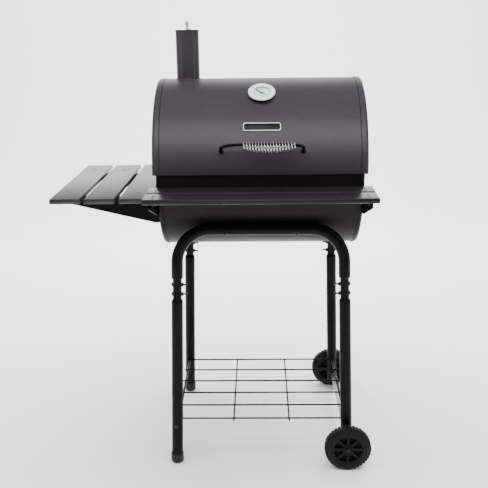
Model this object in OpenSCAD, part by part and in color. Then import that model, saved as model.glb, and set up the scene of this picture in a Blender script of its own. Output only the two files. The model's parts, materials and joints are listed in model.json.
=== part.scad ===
// Barrel charcoal smoker on a tube stand: half-barrel firebox, hinged lid with chimney, thermometer and
// coil-grip handle, slatted front and side shelves, wire storage rack, two feet and two wheels.
// Millimetres, +Z up, X along the barrel, -Y is the front. The origin is on the floor, under the middle of
// the whole object's box.

/* [Barrel] */
// Outer radius of the lid sheet
barrel_r = 250; // [200:1:310]
// Height of the barrel's axis above the floor
axis_h = 893; // [740:1:1080]
// Length of the lid over its end caps
lid_len = 597; // [480:1:720]
// Length of the firebox over its end caps
firebox_len = 578; // [460:1:696]
// Thickness of the rolled sheets
sheet = 1.2; // [0.8:0.1:2]
// Thickness of the pressed end caps
cap_t = 1.5; // [1:0.1:2.5]
// Corner radius of the end caps
cap_corner = 8; // [4:1:14]
// Width of the lid caps' rolled flange
lid_flange = 19; // [10:1:30]
// Width of the firebox caps' rolled flange
firebox_flange = 12; // [10:1:20]
// Height of the lid's lower edge above the barrel's axis
split_rise = 7.5; // [0:0.5:20]
// How far the firebox rises inside the closed lid
lip = 16; // [8:1:30]
// Gap between the lid and what it closes over
lid_clear = 0.8; // [0.5:0.1:3]

/* [Chimney and damper] */
// Distance of the chimney from the barrel's middle
chimney_x = 214; // [150:1:240]
// Distance of the chimney behind the barrel's axis
chimney_y = 33; // [-40:1:60]
// Outer radius of the chimney
chimney_r = 34.5; // [25:0.5:45]
// Height of the chimney above the top of the lid
chimney_h = 138.5; // [80:0.5:220]
// Height of the damper's knob above its plate
knob_h = 25; // [15:1:40]

/* [Thermometer, badge and handle] */
// Place of the thermometer on the lid, in degrees above the horizontal
gauge_angle = 59; // [45:1:75]
// Radius of the thermometer's bezel
gauge_r = 38.5; // [28:0.5:48]
// Length of the thermometer's probe under the lid
probe_len = 62; // [30:1:100]
// Place of the badge on the lid, in degrees above the horizontal
badge_angle = 32.3; // [28:0.1:36]
// Length of the badge
badge_len = 104; // [60:1:140]
// Height of the badge
badge_h = 24; // [14:1:34]
// Place of the handle on the lid, in degrees above the horizontal
handle_angle = 16.4; // [12:0.1:21]
// Tilt of the handle above the horizontal, in degrees
handle_tilt = 30; // [22:1:36]
// Distance between the handle's feet
handle_span = 226; // [200:1:300]
// Radius of the handle's rod
handle_rod_r = 4; // [3:0.5:5]
// Length of the handle's feet
handle_foot = 31; // [26:1:45]
// Rise of the handle's bow
handle_bow = 20; // [12:1:26]
// Length of the coil grip along the rod
coil_len = 144; // [80:1:160]
// Distance of the coil grip's middle from the handle's middle
coil_shift = 19; // [0:1:24]
// Turns of the coil grip
coil_turns = 18; // [8:1:24]

/* [Stand] */
// Diameter of the stand's tubes
tube_d = 34; // [28:0.5:40]
// Wall of the stand's tubes
tube_wall = 1.5; // [1.2:0.1:2.5]
// Place of the arches under the barrel, in degrees below the horizontal
arch_angle = 36.6; // [28:0.1:50]
// Lean of each U-frame towards the barrel, in degrees
lean = 2.15; // [0:0.05:5]
// Splay of the legs along the barrel, in degrees
splay = 1.74; // [0:0.02:4]
// Distance of each leg from the middle, at the floor
leg_foot_x = 261; // [215:1:320]
// Radius of the arches' bends
bend_r = 100; // [70:1:130]
// Height of the leg joints
joint_h = 528; // [440:1:590]
// Length of the necked leg joints
neck_len = 58; // [50:1:70]
// Radius of the necked leg joints
neck_r = 13; // [11:0.5:15]
// Height of the wheeled legs' lower ends
leg_end_h = 26; // [18:1:40]
// Place of the bolts that hold the arches to the barrel
arch_bolt_x = 102; // [60:1:120]
// Place of the seam between the two halves of each arch
seam_x = -21; // [-40:1:20]

/* [Wheels] */
// Radius of the wheels over their tread
wheel_r = 70; // [56:0.5:86]
// Width of the wheels
wheel_w = 36; // [24:1:48]
// Radius of the axle
axle_r = 5; // [4:0.5:7]

/* [Wire rack] */
// Height of the rack's rails
rail_h = 126; // [110:1:215]
// Number of long wires
rack_wires = 6; // [4:1:9]
// Place of the rack's cross wires
rack_cross_x = 85; // [50:1:150]
// Radius of the rack's wires
wire_r = 2; // [1.5:0.5:3]

/* [Shelves] */
// Drop from the barrel's axis to the top of the front shelf
front_drop = 25.5; // [20:0.5:50]
// Width of a front slat
front_slat_w = 76; // [60:1:100]
// Length of the front slats
front_slat_len = 615; // [600:1:740]
// Gap between the front slats
front_gap = 5; // [4:1:16]
// Drop from the barrel's axis to the top of the side shelf
side_drop = 46; // [44:1:70]
// Width of a side slat
side_slat_w = 84; // [60:1:102]
// Length of the side slats
side_slat_len = 506; // [420:1:606]
// Place of the side slats' front ends
side_front_y = 300; // [290:1:340]
// Gap between the side slats
side_gap = 11; // [6:1:16]
// Number of side slats
side_slats = 3; // [2:1:3]
// Depth of the slats
slat_h = 14; // [10:1:20]
// Height of the side brackets where they meet the firebox
side_bracket_h = 78; // [70:1:90]

/* [Hidden] */
$fn = 48;

e = 0.01;
big = 2000;
hole_gap = 0.2;             // between a fastener and its hole
run_gap = 0.08;             // between a pin and what turns on it
body_gap = 0.3;             // between pieces that move past each other
tube_r = tube_d / 2;

// Barrel
firebox_r = barrel_r - sheet - lid_clear - cap_t;
split_z = axis_h + split_rise;
lid_half = lid_len / 2;
firebox_half = firebox_len / 2;
grate_drop = 12;            // cooking grate's underside below the axis
grate_h = 10;
coal_drop = 118;            // charcoal grate's underside below the axis
ledge_t = 1.5;
ledge_w = 17;
ledge_in = 15.5;            // from the end cap's face to the ledges' ends
cook_half_y = firebox_r - 7;
coal_half_y = sqrt(pow(firebox_r, 2) - pow(coal_drop, 2)) - 18;
coal_angle = asin(coal_drop / firebox_r);
rivet_r = 2.5;
grate_gap = 1;              // between the two cooking grates' middles and their ends
grate_half_x = (firebox_half - cap_t - 8) / 2 - grate_gap;

// Air damper, on the right end cap
air_drop = 0.65 * firebox_r;
air_r = 44;
air_hole_r = 10;
air_ring_r = 26;
air_t = 1.2;

// Stand: each U-frame lies in a plane that leans on its arch's own axis
reach = firebox_r + tube_r;
arch_y = reach * cos(arch_angle);
arch_z = axis_h - reach * sin(arch_angle);
corner_x = leg_foot_x - tan(splay) * arch_z / cos(lean);
tangent = bend_r * tan((90 - splay) / 2);
spigot_gap = 0.15;
arch_spigot = 55;
hair = 0.02;                // how much thinner a straight is than the bend that it runs into
sleeve_r = neck_r - 1.4;
function along(h) = (arch_z - h) / (cos(lean) * cos(splay));
function leg_x(h) = corner_x + tan(splay) * (arch_z - h) / cos(lean);
function leg_y(h) = arch_y + (arch_z - h) * tan(lean);
frame_bolt_r = 3;
neck_bolts = [-14.25, 14.25];
foot_r = 19.5;
foot_h = 32;
foot_floor = 6;

// Wheels
spacer = 8;
axle_y = leg_y(wheel_r) + tube_r + spacer;
wheel_y = axle_y + body_gap;
axle_x = leg_x(wheel_r);
cap_nut = 7;
hub_r = 17;

// Wire rack
rail_r = 4;
wire_up = rail_r + wire_r + hair;           // the long wires lie on the rails
wire_in = 5.6;              // from a rail's end to its first wire
rail_end = leg_y(rail_h) - tube_r;
rail_half = rail_end + tube_d + 0.5;
rack_half = leg_x(rail_h) + rail_r + 6;
wire_step = 2 * (rail_end - wire_in) / (rack_wires - 1);

// Shelves
slat_gap = 1.5;             // between the front shelf and the barrel's end flanges
front_y = -(firebox_r + cap_t + slat_gap + 2 * front_slat_w + front_gap);
front_top = axis_h - front_drop;
side_top = axis_h - side_drop;
side_x = -(lid_half + 4);
side_x0 = side_x - side_slats * side_slat_w - (side_slats - 1) * side_gap;
plate_t = 2;
plate_x = firebox_half + 0.1;
gusset_y = -0.838 * firebox_r;
bracket_y = [-0.876, 0.505] * firebox_r;    // where the front and rear brackets are, along the end caps
front_bolts = [[bracket_y[0], -58], [bracket_y[0], -86]];
side_bolt_z = [-72, -112];
screw_r = 2.4;
sink_h = 2.8;
sink_gap = 0.2;             // from a screw head up to the slat's top
screw_x = front_slat_len / 2 - 25;
front_screw_in = 18;

// Hinge
hinge_y = barrel_r + 8;
hinge_z = split_z - 4.5;
knuckle_r = 5;
pin_r = 2.5;
leaf_t = 2;
hinge_x = [-0.33, 0.33] * lid_len;
leaf_w = 60;
leaf_rivets = [-20, 20];
lower_rivets_at = 8;        // degrees below and above the horizontal
upper_rivets_at = 10;

// Chimney and damper
chimney_top = axis_h + barrel_r + chimney_h;
plate_r = chimney_r + 2.5;
pivot_y = chimney_y + chimney_r + 9;
damper_t = 1.5;
pivot_r = 3;

// Handle
bow_r = handle_bow / (1 - cos(45));
bow_run = bow_r * sin(45);
grip_half = handle_span / 2 - bow_run;
fit_x = 6;                  // handle, badge and gauge sit this far right of the barrel's middle
coil_wire_r = 1.5;
coil_end_r = 9;
coil_mid_r = 16;
collar_r = 8;
coil_sides = 6;
coil_steps = 20 * coil_turns;

// The whole object's box
x_hi = max(leg_x(wheel_r) + wheel_r, front_slat_len / 2);
y_hi = max(wheel_y + wheel_w + cap_nut, side_slat_len - side_front_y);
mid_x = (side_x0 + x_hi) / 2;
mid_y = (front_y + y_hi) / 2;
module place() translate([-mid_x, -mid_y, 0]) children();

// ---- Shapes that several pieces share ----

module tube(l, r_out, r_in) {
    difference() {
        cylinder(h=l, r=r_out);
        translate([0, 0, -e]) cylinder(h=l + 2 * e, r=r_in);
    }
}

// A cylinder along X between two places
module rod_x(x0, x1, r) translate([x0, 0, 0]) rotate([0, 90, 0]) cylinder(h=x1 - x0, r=r);

// A cylinder along Y between two places
module rod_y(y0, y1, r) translate([0, y0, 0]) rotate([-90, 0, 0]) cylinder(h=y1 - y0, r=r);

// Local +Z points out of the barrel, at an angle above the horizontal on its front (-1) or rear (1)
module radial(side, above, x) {
    translate([x, 0, axis_h]) rotate([-side * (90 - above), 0, 0]) children();
}

// A strip of a cylinder along the barrel. Angles run from the rear, upwards over the top
module arc_plate(r0, r1, a0, a1, x0, x1) {
    translate([x0, 0, axis_h]) rotate([90, 0, 90]) rotate([0, 0, a0])
        rotate_extrude(angle=a1 - a0) translate([r0, 0]) square([r1 - r0, x1 - x0]);
}

module barrel_tube(half, r_out, r_in) {
    translate([-half, 0, axis_h]) rotate([0, 90, 0]) tube(2 * half, r_out, r_in);
}

module above(z) intersection() {
    children();
    translate([-big, -big, z]) cube([2 * big, 2 * big, big]);
}

module below(z) intersection() {
    children();
    translate([-big, -big, z - big]) cube([2 * big, 2 * big, big]);
}

module cap_outline(r, width, corner) {
    square([r - corner, width]);
    translate([0, corner]) square([r, width - corner]);
    intersection() {
        translate([r - corner, corner]) circle(r=corner);
        square([r, width]);
    }
}

// A pressed end cap, with its face at x = half and its flange over the sheet of radius r
module end_cap(r, half, flange) {
    translate([half, 0, axis_h]) rotate([0, -90, 0]) rotate_extrude() difference() {
        cap_outline(r + cap_t, flange, cap_corner);
        translate([0, cap_t]) cap_outline(r, flange, cap_corner - cap_t);
    }
}

module hex_nut(r, h, bore) {
    difference() {
        cylinder(h=h, r=r, $fn=6);
        translate([0, 0, -e]) cylinder(h=h + 2 * e, r=bore);
    }
}

module round_head(r, h) {
    cylinder(h=h * 0.45, r=r);
    translate([0, 0, h * 0.45]) cylinder(h=h * 0.55, r1=r, r2=r * 0.55);
}

// ---- Firebox ----

module arch_bolt_places() {
    for (side = [-1, 1]) for (x = [-arch_bolt_x, arch_bolt_x]) radial(side, -arch_angle, x) children();
}

module hinge_places() for (x = hinge_x) translate([x, 0, 0]) children();

module firebox_rivet_places() hinge_places() for (x = leaf_rivets) radial(1, -lower_rivets_at, x) children();

module firebox_shell() {
    color("#3a3637") difference() {
        below(split_z + lip) barrel_tube(firebox_half - cap_corner, firebox_r, firebox_r - sheet);
        arch_bolt_places() translate([0, 0, firebox_r - 8]) cylinder(h=16, r=frame_bolt_r + hole_gap);
        firebox_rivet_places() translate([0, 0, firebox_r - 8]) cylinder(h=16, r=rivet_r + 0.1);
    }
}

module bracket_bolt_holes() {
    for (b = front_bolts) translate([firebox_half - 8, b[0], axis_h + b[1]])
        rod_x(0, 16, frame_bolt_r + hole_gap);
}

module firebox_end_right() {
    color("#3a3637") difference() {
        below(split_z + lip) end_cap(firebox_r, firebox_half, firebox_flange);
        bracket_bolt_holes();
        translate([firebox_half - 8, 0, axis_h - air_drop]) {
            rod_x(0, 16, pivot_r + hole_gap);
            for (a = [0:90:359]) rotate([a, 0, 0]) translate([0, 0, air_ring_r]) rod_x(0, 16, air_hole_r);
        }
    }
}

module firebox_end_left() {
    color("#3a3637") difference() {
        below(split_z + lip) mirror([1, 0, 0]) end_cap(firebox_r, firebox_half, firebox_flange);
        mirror([1, 0, 0]) bracket_bolt_holes();
        side_bolt_places() rod_x(-8, 8, frame_bolt_r + hole_gap);
    }
}

// Angle strips along the inside, which the grates lie on
module grate_ledges() {
    in_r = firebox_r - sheet;
    half = firebox_half - ledge_in;
    coal_out = sqrt(pow(in_r, 2) - pow(coal_drop + ledge_t, 2)) - 1;
    color("#2a2a2a") for (side = [0, 1]) mirror([0, side, 0]) {
        arc_plate(in_r - ledge_t, in_r, -5.5, -1, -half, half);
        translate([-half, cook_half_y - ledge_w, axis_h - grate_drop - ledge_t])
            cube([2 * half, in_r - ledge_t - cook_half_y + ledge_w, ledge_t]);
        arc_plate(in_r - ledge_t, in_r, -coal_angle - 1.5, -coal_angle + 3, -half, half);
        translate([-half, coal_half_y - ledge_w, axis_h - coal_drop - ledge_t])
            cube([2 * half, coal_out - coal_half_y + ledge_w, ledge_t]);
    }
}

module rivet(r_face, grip) {
    translate([0, 0, r_face - grip - 1]) cylinder(h=1, r=rivet_r + 1.5);
    translate([0, 0, r_face - grip]) cylinder(h=grip, r=rivet_r);
    translate([0, 0, r_face]) round_head(rivet_r + 2, 2);
}

module firebox_rivets() {
    color("#55555a") firebox_rivet_places() rivet(firebox_r + leaf_t + 0.05, sheet + leaf_t + 0.15);
}

module cooking_grate(half_x) {
    bar = 5;
    bars = floor((half_x * 2 - bar) / 15);
    pitch = (half_x * 2 - bar) / bars;
    for (i = [0:bars]) translate([-half_x + i * pitch, -cook_half_y, 0]) cube([bar, 2 * cook_half_y, grate_h]);
    for (y = [-cook_half_y, -cook_half_y / 3, cook_half_y / 3, cook_half_y - bar])
        translate([-half_x, y, 0]) cube([2 * half_x, bar, grate_h - 2]);
}

module cooking_grate_left() {
    color("#1c1c1c") translate([-grate_half_x - grate_gap, 0, axis_h - grate_drop]) cooking_grate(grate_half_x);
}

module cooking_grate_right() {
    color("#1c1c1c") translate([grate_half_x + grate_gap, 0, axis_h - grate_drop]) cooking_grate(grate_half_x);
}

module charcoal_grate() {
    half = firebox_half - cap_t - 16;
    bar = 4;
    bars = floor(2 * coal_half_y / 20);
    pitch = (2 * coal_half_y - bar) / bars;
    color("#55504c") translate([0, 0, axis_h - coal_drop]) {
        for (i = [0:bars]) translate([-half, -coal_half_y + i * pitch, 0]) cube([2 * half, bar, 6]);
        for (x = [-half, -half / 3, half / 3, half - bar]) translate([x, -coal_half_y, 0])
            cube([bar, 2 * coal_half_y, 4]);
    }
}

module air_damper_pin() {
    color("#9a9a9e") translate([firebox_half, 0, axis_h - air_drop]) {
        rod_x(-cap_t - 4, body_gap + air_t + body_gap, pivot_r);
        rod_x(-cap_t - 3, -cap_t - 0.1, pivot_r + 3);
        rod_x(air_t + 2 * body_gap, air_t + 2 * body_gap + 2.5, pivot_r + 4);
    }
}

module air_damper_disc() {
    color("#3a3637") translate([firebox_half + body_gap, 0, axis_h - air_drop]) difference() {
        union() {
            rod_x(0, air_t, air_r);
            rotate([45, 0, 0]) translate([0, -7, air_r - 3]) cube([14, 14, air_t]);
            rotate([45, 0, 0]) translate([0, -7, 0]) cube([air_t, 14, air_r]);
        }
        rod_x(-1, 20, pivot_r + run_gap);
        for (a = [0:90:359]) rotate([a, 0, 0]) translate([0, 0, air_ring_r]) rod_x(-1, 20, air_hole_r);
    }
}

// ---- Stand ----

module frame_plane(side) translate([0, side * arch_y, arch_z]) rotate([side * lean, 0, 0]) children();

// Local -Z runs down the leg from the corner of the arch
module leg_line(side_x) {
    mirror([side_x < 0 ? 1 : 0, 0, 0]) translate([corner_x, 0, 0]) rotate([0, -splay, 0]) children();
}

// The half arch's run, from its seam round the bend to its necked end, as a solid of a given radius. The
// straights are a hair thinner than the bend and reach into it, so that the two meet cleanly
module arch_run(r, neck, start, extra) {
    straight_r = r - hair;
    neck_top = along(joint_h + neck_len);
    translate([start, 0, 0]) rotate([0, 90, 0]) cylinder(h=corner_x - tangent - start + 1, r=straight_r);
    translate([corner_x - tangent, 0, -bend_r]) rotate([90, 0, 0]) rotate([0, 0, splay])
        rotate_extrude(angle=90 - splay) translate([bend_r, 0]) circle(r=r);
    translate([corner_x, 0, 0]) rotate([0, -splay, 0]) {
        translate([0, 0, -neck_top + 8]) cylinder(h=neck_top - 7 - tangent, r=straight_r);
        translate([0, 0, -neck_top]) cylinder(h=9, r1=neck, r2=straight_r - hair);
        translate([0, 0, -along(joint_h) + 0.4 - extra])
            cylinder(h=along(joint_h) - neck_top - 0.4 + extra, r=neck);
    }
}

module neck_bolt_holes() {
    for (d = neck_bolts) translate([0, 0, -along(joint_h + neck_len / 2) + d])
        rod_x(-40, 40, frame_bolt_r + hole_gap);
}

// The left half has a thinner end that goes into the right half
module half_arch(side, side_x) {
    start = side_x * seam_x;
    spigot_r = tube_r - tube_wall - spigot_gap;
    color("#1d1d1f") difference() {
        frame_plane(side) difference() {
            mirror([side_x < 0 ? 1 : 0, 0, 0]) difference() {
                union() {
                    arch_run(tube_r, neck_r, start, 0);
                    if (side_x < 0) rod_x(start - arch_spigot, start + 1, spigot_r);
                }
                arch_run(tube_r - tube_wall, sleeve_r, side_x < 0 ? start + 5 : start - 1, 1);
                if (side_x < 0) rod_x(start - arch_spigot - 1, start + 6, spigot_r - tube_wall);
            }
            leg_line(side_x) neck_bolt_holes();
        }
        radial(side, -arch_angle, side_x * arch_bolt_x) translate([0, 0, firebox_r - 2])
            cylinder(h=tube_d + 6, r=frame_bolt_r + hole_gap);
    }
}

module front_arch_left() half_arch(-1, -1);
module front_arch_right() half_arch(-1, 1);
module rear_arch_left() half_arch(1, -1);
module rear_arch_right() half_arch(1, 1);

module leg(side, side_x) {
    end_h = side_x < 0 ? foot_floor : leg_end_h;
    spigot_r = sleeve_r - hole_gap;
    color("#1d1d1f") difference() {
        frame_plane(side) leg_line(side_x) difference() {
            union() {
                translate([0, 0, -along(end_h)]) cylinder(h=along(end_h) - along(joint_h) - 8, r=tube_r);
                translate([0, 0, -along(joint_h) - 9]) cylinder(h=9, r1=tube_r - hair, r2=neck_r);
                translate([0, 0, -along(joint_h) - 4]) cylinder(h=neck_len, r=spigot_r);
            }
            translate([0, 0, -along(end_h) - 1])
                cylinder(h=along(end_h) - along(joint_h) - 8, r=tube_r - tube_wall);
            translate([0, 0, -along(joint_h) - 10]) cylinder(h=neck_len + 20, r=spigot_r - 1.4);
            neck_bolt_holes();
        }
        translate([axle_x, 0, wheel_r]) rod_y(-big, big, axle_r + hole_gap);
        translate([side_x * leg_x(rail_h), 0, rail_h]) rod_y(-big, big, rail_r + hole_gap);
    }
}

module leg_front_left() leg(-1, -1);
module leg_front_right() leg(-1, 1);
module leg_rear_left() leg(1, -1);
module leg_rear_right() leg(1, 1);

module feet() {
    color("#141414") for (side = [-1, 1]) difference() {
        translate([-leg_x(foot_h / 2), side * leg_y(foot_h / 2), 0]) rotate_extrude() {
            square([foot_r - 6, 6]);
            translate([foot_r - 6, 6]) circle(r=6);
            translate([0, 6]) square([foot_r, foot_h - 6]);
        }
        frame_plane(side) leg_line(-1) translate([0, 0, -along(foot_floor)]) cylinder(h=100, r=tube_r);
    }
}

module frame_bolts() {
    color("#4b4b50") {
        arch_bolt_places() {
            translate([0, 0, firebox_r - sheet - 9]) cylinder(h=sheet + tube_d + 9.3, r=frame_bolt_r);
            translate([0, 0, firebox_r + tube_d + 0.1]) round_head(7, 4);
        }
        for (side = [-1, 1]) for (side_x = [-1, 1]) frame_plane(side) leg_line(side_x)
            for (d = neck_bolts) translate([0, 0, -along(joint_h + neck_len / 2) + d]) {
                rod_x(-neck_r - 16, neck_r + 0.2, frame_bolt_r);
                translate([neck_r + 0.1, 0, 0]) rotate([0, 90, 0]) round_head(6.5, 4);
            }
        bracket_bolt_places() cap_bolt();
    }
}

module frame_nuts() {
    color("#6d6d72") {
        arch_bolt_places() translate([0, 0, firebox_r - sheet - 5.3]) hex_nut(6.3, 5, frame_bolt_r);
        for (side = [-1, 1]) for (side_x = [-1, 1]) frame_plane(side) leg_line(side_x)
            for (d = neck_bolts) translate([-neck_r - 5.1, 0, -along(joint_h + neck_len / 2) + d])
                rotate([0, 90, 0]) hex_nut(6.3, 5, frame_bolt_r);
        bracket_bolt_places() cap_nut_in();
    }
}

// ---- Axle and wheels ----

module axle() {
    color("#8d8d92") translate([axle_x, 0, wheel_r]) {
        rod_y(-wheel_y - wheel_w - 4, wheel_y + wheel_w + 4, axle_r);
    }
}

module axle_spacers() {
    spacer_len = spacer - 2.2;
    color("#141414") for (side = [0, 1]) mirror([0, side, 0])
        translate([axle_x, axle_y - spacer_len, wheel_r]) rotate([-90, 0, 0]) tube(spacer_len, axle_r + 5, axle_r);
}

module axle_cap_nuts() {
    color("#8d8d92") for (side = [0, 1]) mirror([0, side, 0])
        translate([axle_x, wheel_y + wheel_w + body_gap, wheel_r]) rotate([-90, 0, 0]) difference() {
            union() {
                cylinder(h=cap_nut - 3 - body_gap, r=8);
                translate([0, 0, cap_nut - 3 - body_gap]) cylinder(h=3, r1=8, r2=4.5);
            }
            translate([0, 0, -1]) cylinder(h=1 + 4 - body_gap, r=axle_r);
        }
}

module wheel() {
    spokes = 8;
    difference() {
        union() {
            rotate_extrude() translate([0.62 * wheel_r, 0]) polygon([
                [0, 4], [0, wheel_w - 4], [0.05 * wheel_r, wheel_w - 1], [0.28 * wheel_r, wheel_w],
                [0.38 * wheel_r - 2, wheel_w - 5], [0.38 * wheel_r, wheel_w / 2],
                [0.38 * wheel_r - 2, 5], [0.28 * wheel_r, 0], [0.05 * wheel_r, 1]]);
            for (i = [0:spokes - 1]) rotate([0, 0, i * 360 / spokes])
                translate([hub_r - 3, -4, 7]) cube([0.62 * wheel_r - hub_r + 5, 8, wheel_w - 14]);
            cylinder(h=wheel_w, r=hub_r);
            translate([0, 0, wheel_w / 2 - 2]) cylinder(h=4, r=0.64 * wheel_r);
        }
        translate([0, 0, -1]) cylinder(h=wheel_w + 2, r=axle_r + run_gap);
    }
}

module wheel_rear() {
    color("#232325") translate([axle_x, wheel_y, wheel_r]) rotate([-90, 0, 0]) wheel();
}

module wheel_front() {
    color("#232325") mirror([0, 1, 0]) translate([axle_x, wheel_y, wheel_r]) rotate([-90, 0, 0]) wheel();
}

// ---- Wire rack ----

module rack_wire_places() {
    for (i = [0:rack_wires - 1]) translate([0, (i - (rack_wires - 1) / 2) * wire_step, wire_up]) children();
}

// Rods through the legs, with a push-on cap outside each leg
module rack_rails() {
    color("#1d1d1f") for (side_x = [-1, 1]) translate([side_x * leg_x(rail_h), 0, rail_h])
        rod_y(-rail_half, rail_half, rail_r);
}

module rack_rail_caps() {
    color("#4b4b50") for (side_x = [-1, 1]) for (side = [0, 1]) mirror([0, side, 0])
        translate([side_x * leg_x(rail_h), rail_half + 0.05, rail_h]) rotate([-90, 0, 0]) round_head(7, 4);
}

module rack_long_wires() {
    color("#1d1d1f") translate([0, 0, rail_h]) rack_wire_places() rod_x(-rack_half, rack_half, wire_r);
}

// The cross wires are spot-welded under the long ones
module rack_cross_wires() {
    cross_half = rail_end - wire_in + 9;
    color("#1d1d1f") for (x = [-rack_cross_x, rack_cross_x])
        translate([x, 0, rail_h + wire_up - 2 * wire_r - hair]) rod_y(-cross_half, cross_half, wire_r);
}

// ---- Shelves ----

module slat_section(w, h, r) {
    translate([r, 0]) square([w - 2 * r, h]);
    translate([0, r]) square([w, h - 2 * r]);
    for (x = [r, w - r]) for (y = [r, h - r]) translate([x, y]) circle(r=r);
}

module front_slat(y) {
    difference() {
        translate([-front_slat_len / 2, y, front_top - slat_h]) rotate([90, 0, 90])
            linear_extrude(height=front_slat_len) slat_section(front_slat_w, slat_h, 4);
        front_screw_places() screw_hole(slat_h);
    }
}

module front_screw_places() {
    for (x = [-screw_x, screw_x]) for (y = [front_y, front_y + front_slat_w + front_gap])
        for (d = [front_screw_in, front_slat_w - front_screw_in - 12])
            translate([x, y + d, front_top]) children();
}

module front_shelf_slat_front() color("#242326") front_slat(front_y);
module front_shelf_slat_rear() color("#242326") front_slat(front_y + front_slat_w + front_gap);

// Countersunk screw with its head just under the slat's top, and a nut under the bracket
module screw(grip) {
    translate([0, 0, -sink_h])
        cylinder(h=sink_h - sink_gap, r1=screw_r - 0.1, r2=screw_r - 0.1 + sink_h - sink_gap);
    translate([0, 0, -grip - 6]) cylinder(h=grip + 5, r=screw_r);
    translate([0, 0, -grip - 4.1]) cylinder(h=4, r=5);
}

module screw_hole(grip) {
    translate([0, 0, -grip - 5]) cylinder(h=grip + 10, r=screw_r + hole_gap);
    translate([0, 0, -sink_h - 0.07]) cylinder(h=sink_h + 1.07, r1=screw_r - 0.1, r2=screw_r + sink_h + 0.97);
}

module front_shelf_screws() color("#55555a") front_screw_places() screw(slat_h + plate_t);

// Gusset outside an end cap, with a flange that turns in under the slats
module front_bracket() {
    top = front_top - slat_h;
    low = -112;
    difference() {
        union() {
            translate([plate_x, 0, 0]) rotate([90, 0, 90]) linear_extrude(height=plate_t) polygon([
                [front_y + 8, top], [gusset_y, top], [gusset_y, axis_h + low + 6],
                [gusset_y - 8, axis_h + low], [gusset_y - 22, axis_h + low],
                [front_y + 8, top - 14]]);
            translate([screw_x - 12, front_y + 8, top - plate_t])
                cube([plate_x + plate_t - screw_x + 12, 2 * front_slat_w + front_gap - 9, plate_t]);
        }
        bracket_bolt_holes();
        front_screw_places() translate([0, 0, -slat_h - 8]) cylinder(h=12, r=screw_r + hole_gap);
    }
}

module front_shelf_bracket_right() color("#1d1d1f") front_bracket();
module front_shelf_bracket_left() color("#1d1d1f") mirror([1, 0, 0]) front_bracket();

module side_slat_places() {
    for (i = [0:side_slats - 1])
        translate([side_x0 + i * (side_slat_w + side_gap), -side_front_y, side_top - slat_h]) children();
}

module side_screw_places() {
    for (i = [0:side_slats - 1]) for (y = bracket_y)
        translate([side_x0 + i * (side_slat_w + side_gap) + side_slat_w / 2, y, side_top]) children();
}

module side_shelf_slats() {
    color("#2b2a2d") difference() {
        side_slat_places() translate([0, side_slat_len, 0]) rotate([90, 0, 0])
            linear_extrude(height=side_slat_len) slat_section(side_slat_w, slat_h, 3);
        side_screw_places() screw_hole(slat_h);
    }
}

module side_shelf_screws() color("#55555a") side_screw_places() screw(slat_h + plate_t);

module side_bolt_places() {
    for (y = bracket_y) for (z = side_bolt_z) translate([-firebox_half, y + 25, axis_h + z]) children();
}

// Plate along X with a top flange under the slats and a flange against the end cap
module side_bracket(y) {
    top = side_top - slat_h;
    outer = side_x0 + side_slat_w / 2 - 4;
    difference() {
        union() {
            translate([0, y + 12 + plate_t, 0]) rotate([90, 0, 0]) linear_extrude(height=plate_t) polygon([
                [outer, top], [-plate_x, top], [-plate_x, axis_h - side_drop - slat_h - side_bracket_h],
                [-plate_x - 14, axis_h - side_drop - slat_h - side_bracket_h], [outer, top - 22]]);
            translate([outer, y - 10, top - plate_t]) cube([side_x - outer, 22 + plate_t, plate_t]);
            translate([-plate_x - plate_t, y + 12, top - side_bracket_h]) cube([plate_t, 26, side_bracket_h]);
        }
        side_screw_places() translate([0, 0, -slat_h - 8]) cylinder(h=12, r=screw_r + hole_gap);
        side_bolt_places() rod_x(-8, 8, frame_bolt_r + hole_gap);
    }
}

module side_shelf_bracket_front() color("#1d1d1f") side_bracket(bracket_y[0]);
module side_shelf_bracket_rear() color("#1d1d1f") side_bracket(bracket_y[1]);

// Bolt along X from outside an end cap, seen from the right
module cap_bolt() {
    rod_x(-cap_t - 9, plate_t + 0.3, frame_bolt_r);
    translate([plate_t + 0.2, 0, 0]) rotate([0, 90, 0]) round_head(6.5, 4);
}

module cap_nut_in() translate([-cap_t - 5.2, 0, 0]) rotate([0, 90, 0]) hex_nut(6.3, 5, frame_bolt_r);

module bracket_bolt_places() {
    for (side_x = [0, 1]) mirror([side_x, 0, 0]) for (b = front_bolts)
        translate([firebox_half, b[0], axis_h + b[1]]) children();
    side_bolt_places() mirror([1, 0, 0]) children();
}

// ---- Hinges ----

module knuckle(x0, x1) translate([0, hinge_y, hinge_z]) rod_x(x0, x1, knuckle_r);

module pin_bore() translate([0, hinge_y, hinge_z]) rod_x(-big, big, pin_r + run_gap);

module hinge_lower_leaves() {
    color("#2a2a2c") hinge_places() difference() {
        union() {
            arc_plate(firebox_r, firebox_r + leaf_t, -12, -1, -leaf_w / 2, leaf_w / 2);
            for (x = [-leaf_w / 2, leaf_w / 6 + body_gap]) {
                knuckle(x, x + leaf_w / 3 - body_gap);
                translate([x + 0.5, firebox_r + 1, hinge_z - knuckle_r - 4])
                    cube([leaf_w / 3 - body_gap - 1, hinge_y - firebox_r - 2, 7]);
            }
        }
        pin_bore();
        for (x = leaf_rivets) radial(1, -lower_rivets_at, x) translate([0, 0, firebox_r - 4])
            cylinder(h=12, r=rivet_r + 0.1);
    }
}

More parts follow.
